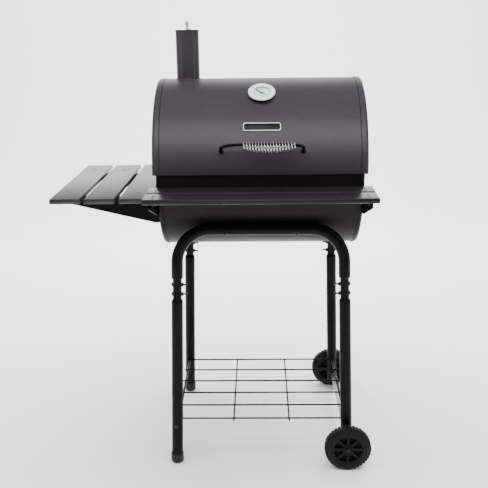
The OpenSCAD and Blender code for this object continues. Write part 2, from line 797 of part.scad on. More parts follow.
module hinge_upper_leaves() {
    color("#2a2a2c") hinge_places() difference() {
        union() {
            arc_plate(barrel_r, barrel_r + leaf_t, 3, 14, -leaf_w / 2, leaf_w / 2);
            knuckle(-leaf_w / 6, leaf_w / 6);
            translate([0.5 - leaf_w / 6, barrel_r + 1, hinge_z])
                cube([leaf_w / 3 - 1, hinge_y - barrel_r - 2, 14]);
        }
        pin_bore();
        for (x = leaf_rivets) radial(1, upper_rivets_at, x) translate([0, 0, barrel_r - 4])
            cylinder(h=12, r=rivet_r + 0.1);
    }
}

module hinge_pins() {
    color("#8d8d92") hinge_places() translate([0, hinge_y, hinge_z]) {
        rod_x(-leaf_w / 2 - 1, leaf_w / 2 + 1, pin_r);
        rod_x(-leaf_w / 2 - 3, -leaf_w / 2 - 0.1, pin_r + 1.5);
        rod_x(leaf_w / 2 + 0.1, leaf_w / 2 + 3, pin_r + 1.5);
    }
}

// ---- Lid ----

module handle_places() {
    for (s = [-1, 1]) translate([fit_x + s * handle_span / 2, 0, 0]) handle_line() children();
}

// Local +Z runs out along the handle's feet, from where they leave the lid
module handle_line() {
    translate([0, -barrel_r * cos(handle_angle), axis_h + barrel_r * sin(handle_angle)])
        rotate([90 - handle_tilt, 0, 0]) children();
}

module badge_studs() for (x = [-0.36, 0.36] * badge_len) radial(-1, badge_angle, fit_x + x) children();

module lid_rivet_places() hinge_places() for (x = leaf_rivets) radial(1, upper_rivets_at, x) children();

module lid_shell() {
    color("#58565f") difference() {
        above(split_z) barrel_tube(lid_half - cap_corner, barrel_r, barrel_r - sheet);
        translate([-chimney_x, chimney_y, axis_h]) cylinder(h=big, r=chimney_r + 0.3);
        radial(-1, gauge_angle, fit_x) translate([0, 0, barrel_r - 10]) cylinder(h=20, r=5);
        badge_studs() translate([0, 0, barrel_r - 10]) cylinder(h=20, r=1.7);
        handle_places() translate([0, 0, -15]) cylinder(h=30, r=handle_rod_r + 0.5);
        lid_rivet_places() translate([0, 0, barrel_r - 8]) cylinder(h=16, r=rivet_r + 0.1);
    }
}

module lid_end_right() color("#58565f") above(split_z) end_cap(barrel_r, lid_half, lid_flange);
module lid_end_left() color("#58565f") above(split_z) mirror([1, 0, 0]) end_cap(barrel_r, lid_half, lid_flange);

module lid_rivets() color("#55555a") lid_rivet_places() rivet(barrel_r + leaf_t + 0.05, sheet + leaf_t + 0.15);

module chimney() {
    low = axis_h + sqrt(pow(barrel_r, 2) - pow(abs(chimney_y) + chimney_r, 2)) - 8;
    color("#58565f") difference() {
        union() {
            translate([-chimney_x, chimney_y, low]) cylinder(h=chimney_top - low, r=chimney_r);
            translate([-chimney_x - 8, pivot_y - 12, chimney_top - 10]) cube([16, 12, 10]);
            translate([-chimney_x, pivot_y, chimney_top - 10]) cylinder(h=10, r=8);
        }
        translate([-chimney_x, chimney_y, low - 1]) cylinder(h=big, r=chimney_r - 1.5);
        translate([-chimney_x, pivot_y, chimney_top - 20]) cylinder(h=40, r=pivot_r + hole_gap);
    }
}

module damper_pivot() {
    color("#8d8d92") translate([-chimney_x, pivot_y, chimney_top]) {
        translate([0, 0, -17]) cylinder(h=17 + damper_t + 2 * body_gap, r=pivot_r);
        translate([0, 0, damper_t + 2 * body_gap]) round_head(6.5, 3);
        translate([0, 0, -15.2]) cylinder(h=5, r=6.3, $fn=6);
    }
}

module damper_plate() {
    color("#4a484e") translate([-chimney_x, 0, chimney_top + body_gap]) difference() {
        union() {
            translate([0, chimney_y, 0]) cylinder(h=damper_t, r=plate_r);
            translate([-9, pivot_y - 16, 0]) cube([18, 16, damper_t]);
            translate([0, pivot_y, 0]) cylinder(h=damper_t, r=9);
        }
        translate([0, pivot_y, -1]) cylinder(h=damper_t + 2, r=pivot_r + run_gap);
        translate([0, chimney_y, -1]) cylinder(h=damper_t + 2, r=2.2);
    }
}

module damper_knob() {
    color("#8d8d92") translate([-chimney_x, chimney_y, chimney_top + body_gap + damper_t]) {
        translate([0, 0, -damper_t]) cylinder(h=damper_t + 0.1, r=2);
        translate([0, 0, 0.05]) cylinder(h=knob_h - 12, r=3);
        translate([0, 0, knob_h - 15]) cylinder(h=4, r=5.5);
        translate([0, 0, knob_h - 11]) cylinder(h=4, r=6);
        translate([0, 0, knob_h - 7]) cylinder(h=7, r1=6, r2=2.5);
    }
}

// ---- Thermometer ----

module gauge() radial(-1, gauge_angle, fit_x) translate([0, 0, barrel_r + 0.2]) children();

module thermometer_case() {
    color("#c9cacc") gauge() rotate_extrude() polygon([
        [5.2, 0], [gauge_r - 6, 0], [gauge_r - 4, 2], [gauge_r - 4, 5], [gauge_r, 7], [gauge_r, 10],
        [gauge_r - 2, 12], [gauge_r - 7, 12], [gauge_r - 8, 11], [gauge_r - 8, 5], [gauge_r - 12, 4],
        [5.2, 4]]);
}

module thermometer_dial() {
    color("#e2e3e4") gauge() translate([0, 0, 4.1]) tube(1, gauge_r - 13, 2.3);
}

module thermometer_lens() {
    color("#dfe8ee", 0.3) gauge() translate([0, 0, 9.2]) cylinder(h=1.5, r=gauge_r - 8);
}

module thermometer_stem() {
    color("#b5b6b8") gauge() {
        difference() {
            union() {
                translate([0, 0, -14]) cylinder(h=17.9, r=4.5);
                translate([0, 0, 1]) cylinder(h=2.9, r=5);
                translate([0, 0, -probe_len]) cylinder(h=probe_len - 14 + e, r=3);
            }
            translate([0, 0, 3.9 - 3]) cylinder(h=4, r=1.5);
        }
        translate([0, 0, -sheet - 5.6]) hex_nut(9, 5, 4.5);
    }
}

module thermometer_needle() {
    color("#18181a") gauge() rotate([0, 0, -42]) {
        translate([0, 0, 2.2]) cylinder(h=4.6, r=1.3);
        translate([0, 0, 6]) cylinder(h=1.6, r=4);
        translate([-(gauge_r - 17), -1.1, 6.3]) cube([2 * (gauge_r - 17), 2.2, 0.8]);
    }
}

// ---- Badge and handle ----

module badge() {
    r = 6;
    color("#1a1a1c") {
        radial(-1, badge_angle, fit_x) translate([-badge_len / 2, -badge_h / 2, barrel_r + 0.05])
            linear_extrude(height=3) slat_section(badge_len, badge_h, r);
        badge_studs() translate([0, 0, barrel_r - 6]) cylinder(h=6.1, r=1.5);
    }
}

module handle_rod() {
    color("#161617") translate([fit_x, 0, 0]) handle_line() {
        for (s = [0, 1]) mirror([s, 0, 0]) {
            translate([handle_span / 2, 0, -14]) cylinder(h=14 + handle_foot, r=handle_rod_r);
            translate([handle_span / 2, 0, handle_foot]) sphere(r=handle_rod_r + 0.1);
            translate([grip_half, 0, handle_foot + handle_bow - bow_r]) rotate([90, 0, 0]) rotate([0, 0, 45])
                rotate_extrude(angle=45) translate([bow_r, 0]) circle(r=handle_rod_r);
        }
        translate([0, 0, handle_foot + handle_bow]) rod_x(-grip_half - 1, grip_half + 1, handle_rod_r - hair);
    }
}

function coil_radius(t) = coil_end_r + (coil_mid_r - coil_end_r) * (1 - pow(2 * t - 1, 2));
function coil_point(t, a) =
    let (turn = 360 * coil_turns * t, r = coil_radius(t) + coil_wire_r * cos(a))
    [coil_len * (t - 0.5) + coil_wire_r * sin(a), r * cos(turn), r * sin(turn)];

module handle_coil() {
    points = [for (i = [0:coil_steps]) for (k = [0:coil_sides - 1])
        coil_point(i / coil_steps, 360 * k / coil_sides)];
    sides = [for (i = [0:coil_steps - 1]) for (k = [0:coil_sides - 1])
        let (n = (k + 1) % coil_sides, a = i * coil_sides, b = a + coil_sides) [a + k, a + n, b + n, b + k]];
    last = coil_steps * coil_sides;
    ends = [[for (k = [coil_sides - 1:-1:0]) k], [for (k = [0:coil_sides - 1]) last + k]];
    color("#d2d3d5") translate([fit_x + coil_shift, 0, 0]) handle_line()
        translate([0, 0, handle_foot + handle_bow]) rotate([handle_tilt - 90, 0, 0]) translate([0, 1, -3])
            polyhedron(points, concat(sides, ends), convexity=10);
}

module handle_collars() {
    color("#2a2a2c") {
        difference() {
            handle_places() translate([0, 0, -3]) tube(9, collar_r, handle_rod_r);
            translate([0, 0, axis_h]) rod_x(-big, big, barrel_r);
        }
        intersection() {
            handle_places() translate([0, 0, -12]) tube(11, collar_r, handle_rod_r);
            translate([0, 0, axis_h]) rod_x(-big, big, barrel_r - sheet);
        }
    }
}

place() firebox_shell();
place() firebox_end_left();
place() firebox_end_right();
place() grate_ledges();
place() firebox_rivets();
place() cooking_grate_left();
place() cooking_grate_right();
place() charcoal_grate();
place() air_damper_pin();
place() air_damper_disc();
place() front_arch_left();
place() front_arch_right();
place() rear_arch_left();
place() rear_arch_right();
place() leg_front_left();
place() leg_front_right();
place() leg_rear_left();
place() leg_rear_right();
place() feet();
place() frame_bolts();
place() frame_nuts();
place() axle();
place() axle_spacers();
place() axle_cap_nuts();
place() wheel_front();
place() wheel_rear();
place() rack_rails();
place() rack_rail_caps();
place() rack_long_wires();
place() rack_cross_wires();
place() front_shelf_slat_front();
place() front_shelf_slat_rear();
place() front_shelf_bracket_left();
place() front_shelf_bracket_right();
place() front_shelf_screws();
place() side_shelf_slats();
place() side_shelf_bracket_front();
place() side_shelf_bracket_rear();
place() side_shelf_screws();
place() hinge_lower_leaves();
place() hinge_pins();
place() lid_shell();
place() lid_end_left();
place() lid_end_right();
place() hinge_upper_leaves();
place() lid_rivets();
place() chimney();
place() damper_pivot();
place() damper_plate();
place() damper_knob();
place() thermometer_case();
place() thermometer_dial();
place() thermometer_lens();
place() thermometer_needle();
place() thermometer_stem();
place() badge();
place() handle_rod();
place() handle_coil();
place() handle_collars();
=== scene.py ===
# A barrel charcoal smoker on a tube stand, dressed around its CAD frame. Sizes are in metres.
import json
import math

import bmesh
import bpy
from mathutils import Matrix, Vector


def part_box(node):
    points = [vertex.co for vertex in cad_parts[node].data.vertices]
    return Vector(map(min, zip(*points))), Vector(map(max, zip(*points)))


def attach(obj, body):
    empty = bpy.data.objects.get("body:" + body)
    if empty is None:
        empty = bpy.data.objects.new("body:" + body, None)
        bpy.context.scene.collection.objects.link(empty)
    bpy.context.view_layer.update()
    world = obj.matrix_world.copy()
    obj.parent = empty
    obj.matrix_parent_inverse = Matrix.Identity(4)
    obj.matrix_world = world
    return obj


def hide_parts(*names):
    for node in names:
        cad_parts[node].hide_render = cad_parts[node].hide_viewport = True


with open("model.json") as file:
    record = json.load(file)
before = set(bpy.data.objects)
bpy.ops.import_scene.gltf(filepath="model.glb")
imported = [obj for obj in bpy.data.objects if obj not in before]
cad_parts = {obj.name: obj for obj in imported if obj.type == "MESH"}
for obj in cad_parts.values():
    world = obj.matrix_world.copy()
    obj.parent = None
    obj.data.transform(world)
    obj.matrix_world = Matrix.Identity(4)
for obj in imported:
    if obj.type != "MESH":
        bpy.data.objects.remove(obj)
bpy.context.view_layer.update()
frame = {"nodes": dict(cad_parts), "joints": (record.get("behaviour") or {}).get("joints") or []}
nodes = frame["nodes"]
joints = {j["name"]: j for j in frame["joints"]}


# ---- Camera and studio ----
# A pale seamless floor under soft light, with the camera a little above the lid and looking down on the
# front. The barrel's own axis is the point that the camera and the lights are placed from.
BODY = "firebox_and_stand"
fire_lo, fire_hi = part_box("firebox_shell")
lid_lo, lid_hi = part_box("lid_shell")
firebox_r = (fire_hi.y - fire_lo.y) / 2
axis = Vector(((fire_lo.x + fire_hi.x) / 2, (fire_lo.y + fire_hi.y) / 2, fire_lo.z + firebox_r))
lid_r = lid_hi.z - axis.z
split_z = lid_lo.z


def add_object(name, data):
    """Puts an object into the scene."""
    made = bpy.data.objects.new(name, data)
    bpy.context.scene.collection.objects.link(made)
    return made


camera_data = bpy.data.cameras.new("camera")
camera_data.sensor_width = 36
camera_data.lens = 56.63
camera = add_object("camera", camera_data)
camera.rotation_mode = "XYZ"
camera.location = axis + Vector((-0.0039, -2.3295, 0.42205))
camera_yaw, camera_pitch, camera_roll = math.radians(-1.18), math.radians(16.41), math.radians(-0.70)
look = Matrix.Rotation(-camera_yaw, 3, "Z") @ Matrix.Rotation(math.pi / 2 - camera_pitch, 3, "X")
camera.rotation_euler = (look @ Matrix.Rotation(camera_roll, 3, "Z")).to_euler("XYZ")
bpy.context.scene.camera = camera

world = bpy.data.worlds.new("studio")
world.use_nodes = True
background = world.node_tree.nodes["Background"]
background.inputs["Color"].default_value = (1.0, 1.0, 1.0, 1)
background.inputs["Strength"].default_value = 0.22
bpy.context.scene.world = world


def softbox(name, place, target, size, power):
    """A rectangular area light that faces a point."""
    data = bpy.data.lights.new(name, "AREA")
    data.shape = "RECTANGLE"
    data.size, data.size_y = size
    data.energy = power
    light = add_object(name, data)
    light.location = place
    light.rotation_euler = (Vector(target) - Vector(place)).to_track_quat("-Z", "Y").to_euler()
    return light


softbox("front_light", axis + Vector((0.0, -2.1, 2.0)), axis, (2.6, 1.5), 56)
top_light = softbox("top_light", axis + Vector((0.0, 0.0, 3.0)), axis + Vector((0, 0, -0.9)), (5.0, 4.0), 420)
top_light.visible_glossy = False
softbox("backdrop_light", Vector((0, 1.6, 3.3)), Vector((0, 4.6, 1.4)), (6.0, 1.2), 420)
softbox("left_light", axis + Vector((-2.9, -0.9, 0.5)), axis, (0.9, 2.0), 14)
softbox("right_light", axis + Vector((2.9, -0.9, 0.5)), axis, (0.9, 2.0), 18)


# ---- Lid ----
# Rolled steel sheet over two pressed end caps with wide rolled flanges, in satin charcoal-grey paint. It is
# bored on the left for the chimney, and closes over the firebox's lip.
def set_inputs(tree, made, inputs):
    """Sets a node's inputs. Each is given a value, or the socket that it is linked from."""
    for key, value in inputs.items():
        if isinstance(value, bpy.types.NodeSocket):
            tree.links.new(value, made.inputs[key])
        else:
            made.inputs[key].default_value = value


def add_node(tree, kind, inputs={}, **settings):
    """Adds a node to a tree, with its settings first, as they decide which inputs it has."""
    made = tree.nodes.new(kind)
    for key, value in settings.items():
        setattr(made, key, value)
    set_inputs(tree, made, inputs)
    return made


def detail_group():
    """Soft clouding, fine grain and sparse specks, shared by every finish."""
    tree = bpy.data.node_groups.new("surface_detail", "ShaderNodeTree")
    face = tree.interface
    face.new_socket("Vector", in_out="INPUT", socket_type="NodeSocketVector")
    for name, value in (("Cloud Size", 6.0), ("Grain Size", 900.0)):
        face.new_socket(name, in_out="INPUT", socket_type="NodeSocketFloat").default_value = value
    for name in ("Cloud", "Grain", "Specks"):
        face.new_socket(name, in_out="OUTPUT", socket_type="NodeSocketFloat")
    enter = add_node(tree, "NodeGroupInput").outputs
    at, grain_size = enter["Vector"], enter["Grain Size"]
    speck_size = add_node(tree, "ShaderNodeMath", {0: grain_size, 1: 0.31}, operation="MULTIPLY").outputs[0]
    cloud, grain, dots = [
        add_node(tree, "ShaderNodeTexNoise", {"Vector": at, "Scale": size, "Detail": detail}).outputs["Fac"]
        for size, detail in ((enter["Cloud Size"], 4.0), (grain_size, 2.0), (speck_size, 0.0))]
    specks = add_node(tree, "ShaderNodeMapRange", {"Value": dots, "From Min": 0.68, "From Max": 0.76})
    add_node(tree, "NodeGroupOutput", {"Cloud": cloud, "Grain": grain, "Specks": specks.outputs["Result"]})
    return tree


DETAIL = detail_group()


def mixed(tree, factor, first, second):
    """A colour between two, by a factor."""
    inputs = {"Factor": factor, "A": first, "B": second}
    return add_node(tree, "ShaderNodeMix", inputs, data_type="RGBA").outputs["Result"]


def finish(name, colour, shade, roughness, spread=0.08, metallic=0.0, bump=0.02, cloud=6.0, grain=900.0,
           stretch=(1, 1, 1), speck=None, specular=0.5):
    """A material whose colour clouds from one tone to another and whose gloss and grain vary finely."""
    material = bpy.data.materials.new(name)
    material.use_nodes = True
    material.diffuse_color = (*colour, 1)
    tree = material.node_tree
    place = add_node(tree, "ShaderNodeTexCoord").outputs["Object"]
    mapping = add_node(tree, "ShaderNodeMapping", {"Vector": place, "Scale": stretch})
    detail = add_node(tree, "ShaderNodeGroup", {
        "Vector": mapping.outputs["Vector"], "Cloud Size": cloud, "Grain Size": grain}, node_tree=DETAIL).outputs
    tone = mixed(tree, detail["Cloud"], (*colour, 1), (*shade, 1))
    if speck:
        tone = mixed(tree, detail["Specks"], tone, (*speck, 1))
    gloss = add_node(tree, "ShaderNodeMapRange", {
        "Value": detail["Cloud"], "From Min": 0.3, "From Max": 0.7, "To Min": roughness - spread,
        "To Max": roughness + spread})
    relief = add_node(tree, "ShaderNodeBump", {"Height": detail["Grain"], "Strength": bump, "Distance": 0.001})
    set_inputs(tree, tree.nodes["Principled BSDF"], {
        "Base Color": tone, "Metallic": metallic, "Specular IOR Level": specular,
        "Roughness": gloss.outputs["Result"], "Normal": relief.outputs["Normal"]})
    return material


lid_paint = finish("lid_paint", (0.0195, 0.0150, 0.0210), (0.0235, 0.0184, 0.0255), 0.43, spread=0.03,
                   bump=0.08, speck=(0.028, 0.026, 0.032))


def piece(name, mesh, material, body, slot, *stands_for, angle=35):
    """Makes a mesh an object of the smoker: its material, its body and the nodes it stands for. The slot is not used.
    """
    mesh.name = name
    built = add_object(name, mesh)
    mesh.materials.clear()
    mesh.materials.append(material)
    mesh.shade_smooth()
    mesh.set_sharp_from_angle(angle=math.radians(angle))
    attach(built, body)
    if stands_for:
        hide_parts(*stands_for)


def to_mesh(bm):
    """Closes a bmesh: doubles merged, faces turned outwards."""
    bmesh.ops.remove_doubles(bm, verts=bm.verts, dist=1e-6)
    bmesh.ops.recalc_face_normals(bm, faces=bm.faces)
    mesh = bpy.data.meshes.new("shape")
    bm.to_mesh(mesh)
    bm.free()
    return mesh


def add_skin(bm, rings, loop=False):
    """Faces between rings of points. The last ring is joined to the first, or both ends are closed."""
    made = [[bm.verts.new(p) for p in ring] for ring in rings]
    count = len(made[0])
    pairs = list(zip(made, made[1:])) + ([(made[-1], made[0])] if loop else [])
    for low, high in pairs:
        for i in range(count):
            k = (i + 1) % count
            bm.faces.new((low[i], low[k], high[k], high[i]))
    if not loop:
        bm.faces.new(list(reversed(made[0])))
        bm.faces.new(made[-1])


def rounded(corners, closed=True, steps=6):
    """An outline whose corners (x, y, radius) are turned into arcs."""
    points = []
    count = len(corners)
    for i, (x, y, radius) in enumerate(corners):
        here = Vector((x, y))
        if radius == 0 or (not closed and i in (0, count - 1)):
            points.append((x, y))
            continue
        before = Vector(corners[i - 1][:2]) - here
        after = Vector(corners[(i + 1) % count][:2]) - here
        half = before.angle(after) / 2
        reach = min(radius / math.tan(half), before.length * 0.499, after.length * 0.499)
        radius = reach * math.tan(half)
        start, end = here + before.normalized() * reach, here + after.normalized() * reach
        inward = (before.normalized() + after.normalized()).normalized()
        middle = here + inward * (radius / math.sin(half))
        turn = (end - middle).angle_signed(start - middle)
        for k in range(steps + 1):
            points.append(tuple(middle + Matrix.Rotation(turn * k / steps, 2) @ (start - middle)))
    return points


def add_lathe(bm, outline, steps=96, place=Matrix.Identity(4)):
    """A closed outline of (radius, height) turned round its local Z and put in place."""
    turns = [2 * math.pi * i / steps for i in range(steps)]
    add_skin(bm, [[place @ Vector((r * math.cos(a), r * math.sin(a), h)) for r, h in outline] for a in turns],
             loop=True)


def lathe(outline, steps=96, place=Matrix.Identity(4)):
    bm = bmesh.new()
    add_lathe(bm, outline, steps, place)
    bmesh.ops.dissolve_degenerate(bm, dist=1e-7, edges=bm.edges)
    return to_mesh(bm)


def keep_side(bm, point, normal):
    """Cuts a closed shell at a plane, keeps the side that normal points to and closes the cut."""
    geometry = bm.verts[:] + bm.edges[:] + bm.faces[:]
    cut = bmesh.ops.bisect_plane(bm, geom=geometry, plane_co=point, plane_no=normal, clear_inner=True)
    edges = [g for g in cut["geom_cut"] if isinstance(g, bmesh.types.BMEdge)]
    bmesh.ops.edgeloop_fill(bm, edges=edges)


SHEET = 0.0012
CAP = 0.0015
CAP_CORNER = 0.008


def end_cap(node, radius, cut_z, up, side):
    """A pressed cap: a flat face, a rounded corner and a flange over the sheet, cut at the split."""
    low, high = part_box(node)
    face_x, depth = (high.x if side > 0 else low.x), high.x - low.x
    outline = rounded([
        (0.0, 0.0, 0), (radius, 0.0, CAP_CORNER), (radius, -depth, CAP * 0.45), (radius - CAP, -depth, CAP * 0.45),
        (radius - CAP, -CAP, CAP_CORNER - CAP), (0.0, -CAP, 0)], steps=8)
    along_x = Matrix.Scale(side, 4, (1, 0, 0)) @ Matrix.Rotation(math.pi / 2, 4, "Y")
    bm = bmesh.new()
    add_lathe(bm, outline, 128, Matrix.Translation((face_x, axis.y, axis.z)) @ along_x)
    bmesh.ops.remove_doubles(bm, verts=bm.verts, dist=1e-6)
    bmesh.ops.dissolve_degenerate(bm, dist=1e-7, edges=bm.edges)
    keep_side(bm, (0, 0, cut_z), (0, 0, up))
    return to_mesh(bm)


def arc_points(radius, start, end, steps):
    """Points round the barrel's axis, in Y and Z, at angles from the rear over the top."""
    return [(axis.y + radius * math.cos(a), axis.z + radius * math.sin(a))
            for a in (start + (end - start) * i / steps for i in range(steps + 1))]


def rolled_sheet(low_x, high_x, radius, start, end, steps=120, rows=12):
    """A sheet rolled round the barrel's axis, between two angles."""
    section = arc_points(radius, start, end, steps) + arc_points(radius - SHEET, end, start, steps)
    bm = bmesh.new()
    places = [low_x + (high_x - low_x) * i / rows for i in range(rows + 1)]
    add_skin(bm, [[Vector((x, y, z)) for y, z in section] for x in places])
    return to_mesh(bm)


def bored(mesh, at, radius):
    """A mesh with a round vertical hole through it."""
    drill = lathe([(0, 0), (radius, 0), (radius, 2), (0, 2)], 96, Matrix.Translation(at))
    host, cutter = add_object("host", mesh), add_object("cutter", drill)
    host.modifiers.new("bore", "BOOLEAN").object = cutter
    cut = bpy.data.meshes.new_from_object(host.evaluated_get(bpy.context.evaluated_depsgraph_get()))
    for made in (host, cutter):
        bpy.data.objects.remove(made)
    return cut


chimney_lo, chimney_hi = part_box("chimney")
chimney_r = (chimney_hi.x - chimney_lo.x) / 2
chimney_at = Vector((chimney_lo.x + chimney_r, chimney_lo.y + chimney_r, 0))
BORE_GAP = 0.0003
lid_edge = math.asin((split_z - axis.z) / lid_r)
lid_arc = (lid_edge, math.pi - lid_edge)
lid_sheet = bored(rolled_sheet(lid_lo.x, lid_hi.x, lid_r, *lid_arc), chimney_at + Vector((0, 0, axis.z)),
                  chimney_r + BORE_GAP)
piece("lid_sheet", lid_sheet, lid_paint, "lid", "lid_paint", "lid_shell")

SIDES = ((-1, "left"), (1, "right"))
for side, hand in SIDES:
    node = "lid_end_" + hand
    piece(node + "_cap", end_cap(node, lid_r + CAP, split_z, 1, side), lid_paint, "lid", "lid_paint", node)

# A thin near-black strip at the edge of each cap's flange is painted shadow: it stands in for the shade under the
# flange's edge.
SEAM_SHADOW_WIDTH = 0.0013
SEAM_SHADOW_RISE = 0.0005
seam_painted_shadow = finish("seam_painted_shadow", (0.0030, 0.0030, 0.0030), (0.0045, 0.0045, 0.0045), 0.60, specular=0.1)


def seam(name, node, radius, arc, side, body, slot):
    """A thin dark strip on the sheet where a cap's flange ends: a painted shadow of the flange's edge."""
    low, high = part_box(node)
    start = low.x - SEAM_SHADOW_WIDTH if side > 0 else high.x
    piece(name, rolled_sheet(start, start + SEAM_SHADOW_WIDTH, radius + SEAM_SHADOW_RISE, *arc), seam_painted_shadow, body, slot)


for side, hand in SIDES:
    seam("lid_seam_" + hand, "lid_end_" + hand, lid_r, lid_arc, side, "lid", "lid_paint")


# ---- Firebox ----
# The lower half of the barrel, rolled and capped in the same way, in a browner satin paint. It stands up
# inside the lid by a narrow lip. Its right cap, with the air damper's holes, keeps the frame's own shape.
firebox_paint = finish("firebox_paint", (0.0080, 0.0054, 0.0056), (0.0102, 0.0074, 0.0076), 0.42, spread=0.05,
                       bump=0.12, speck=(0.010, 0.009, 0.009), specular=0.11)
lip_angle = math.asin((fire_hi.z - axis.z) / firebox_r)
fire_start, fire_end = math.pi - lip_angle, 2 * math.pi + lip_angle
piece("firebox_sheet", rolled_sheet(fire_lo.x, fire_hi.x, firebox_r, fire_start, fire_end, 160), firebox_paint,
      BODY, "firebox_paint", "firebox_shell")
piece("firebox_end_left_cap", end_cap("firebox_end_left", firebox_r + CAP, fire_hi.z, -1, -1), firebox_paint,
      BODY, "firebox_paint", "firebox_end_left")

SEAM_SHADOW_STOP = 0.04                # radians by which the painted seam shadows stop short of the lip's edge
for side, hand in SIDES:
    seam("firebox_seam_" + hand, "firebox_end_" + hand, firebox_r, (fire_start + SEAM_SHADOW_STOP, fire_end - SEAM_SHADOW_STOP),
         side, BODY, "firebox_paint")


def wear(material, slot, *names):
    """Gives CAD nodes whose shape stays a material. The slot is not used."""
    for name in names:
        shown = nodes[name]
        shown.data.materials.clear()
        shown.data.materials.append(material)


wear(firebox_paint, "firebox_paint", "firebox_end_right", "air_damper_disc")


# ---- Chimney and its damper ----
# A steel tube welded through the lid, with a weld bead round its saddle. A flat damper plate swings on a
# bolt behind the tube, and is turned by a bright acorn knob.
def add_sweep(bm, path, radius, sides=24, loop=False):
    """A round bar along a path. radius is one number, or one for each point."""
    count = len(path)
    widths = radius if isinstance(radius, list) else [radius] * count
    tangents = []
    for i in range(count):
        before = path[i - 1] if i or loop else path[i]
        after = path[(i + 1) % count] if i < count - 1 or loop else path[i]
        tangents.append((after - before).normalized())
    side = tangents[0].orthogonal().normalized()
    turns = [2 * math.pi * k / sides for k in range(sides)]
    rings = []
    for i in range(count):
        if i:
            side = tangents[i - 1].rotation_difference(tangents[i]) @ side
        side = (side - tangents[i] * side.dot(tangents[i])).normalized()
        other = tangents[i].cross(side)
        rings.append([path[i] + widths[i] * (math.cos(a) * side + math.sin(a) * other) for a in turns])
    add_skin(bm, rings, loop=loop)


def sweep(path, radius, sides=24, loop=False):
    bm = bmesh.new()
    add_sweep(bm, path, radius, sides, loop)
    return to_mesh(bm)


CHIMNEY_WALL = 0.0015
TUBE_EDGE = 0.0006
piece("chimney_tube", lathe(rounded([
    (chimney_r, chimney_lo.z, 0), (chimney_r, chimney_hi.z, TUBE_EDGE),
    (chimney_r - CHIMNEY_WALL, chimney_hi.z, TUBE_EDGE), (chimney_r - CHIMNEY_WALL, chimney_lo.z, 0)]), 96,
    Matrix.Translation(chimney_at)), lid_paint, "lid", "lid_paint")

BEAD_STEPS, BEAD_RIPPLES, BEAD_OUT = 120, 30, 0.0004
bead_turns = [2 * math.pi * i / BEAD_STEPS for i in range(BEAD_STEPS)]
bead = []
for a in bead_turns:
    x = chimney_at.x + (chimney_r + BEAD_OUT) * math.cos(a)
    y = chimney_at.y + (chimney_r + BEAD_OUT) * math.sin(a)
    bead.append(Vector((x, y, axis.z + math.sqrt(lid_r ** 2 - (y - axis.y) ** 2) + BEAD_OUT)))
bead_widths = [0.0021 + 0.0003 * math.sin(BEAD_RIPPLES * a) for a in bead_turns]
piece("chimney_weld", sweep(bead, bead_widths, 10, loop=True), lid_paint, "lid", "lid_paint")


def block(low, high, edge=0.0008, steps=2):
    """A box with softened edges."""
    bm = bmesh.new()
    bmesh.ops.create_cube(bm, size=1)
    for v in bm.verts:
        v.co = Vector([(low[k] + high[k]) / 2 + v.co[k] * (high[k] - low[k]) for k in range(3)])
    bmesh.ops.bevel(bm, geom=bm.edges[:], offset=edge, segments=steps, profile=0.5, affect="EDGES")
    return to_mesh(bm)


pivot_at = Vector(joints["chimney_damper_swing"]["pos_m"])
LUG_HALF, LUG_H, LUG_SUNK = 0.008, 0.010, 0.001
piece("chimney_lug", block(
    (pivot_at.x - LUG_HALF, chimney_at.y + chimney_r - LUG_SUNK, pivot_at.z - LUG_H),
    (pivot_at.x + LUG_HALF, pivot_at.y + LUG_HALF, pivot_at.z)), lid_paint, "lid", "lid_paint", "chimney")

steel = finish("bare_steel", (0.42, 0.42, 0.43), (0.30, 0.30, 0.31), 0.34, metallic=1.0, bump=0.05, grain=1400)
chrome = finish("bright_plate", (0.80, 0.80, 0.82), (0.70, 0.70, 0.73), 0.12, spread=0.04, metallic=1.0,
                bump=0.01)
black_zinc = finish("black_zinc", (0.010, 0.009, 0.010), (0.016, 0.015, 0.016), 0.36, metallic=0.3, bump=0.04,
                    specular=0.3)
wear(lid_paint, "lid_paint", "damper_plate")
wear(steel, "bare_steel", "damper_pivot", "air_damper_pin", "firebox_rivets", "lid_rivets", "hinge_pins",
     "axle", "thermometer_stem", "grate_ledges", "charcoal_grate")

knob_lo, knob_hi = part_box("damper_knob")
knob_top, collar_z, nut_z = knob_hi.z, chimney_hi.z, knob_lo.z
piece("damper_acorn", lathe(rounded([
    (0, knob_top, 0), (0.0022, knob_top - 0.0004, 0.001), (0.0058, knob_top - 0.006, 0.003),
    (0.0060, knob_top - 0.010, 0.0008), (0.0052, knob_top - 0.0112, 0.0004), (0.0056, knob_top - 0.0125, 0.0005),
    (0.0056, knob_top - 0.0148, 0.0005), (0.0030, knob_top - 0.0155, 0.0005), (0.0030, collar_z + 0.0035, 0.0005),
    (0.0048, collar_z + 0.0028, 0.0004), (0.0048, collar_z + 0.0018, 0.0002), (0.0020, collar_z + 0.0018, 0),
    (0.0020, nut_z + 0.0028, 0), (0.0045, nut_z + 0.0028, 0.0003), (0.0045, nut_z, 0.0003), (0, nut_z, 0)]), 40,
    Matrix.Translation(chimney_at)), chrome, "chimney_damper", "chrome", "damper_knob")


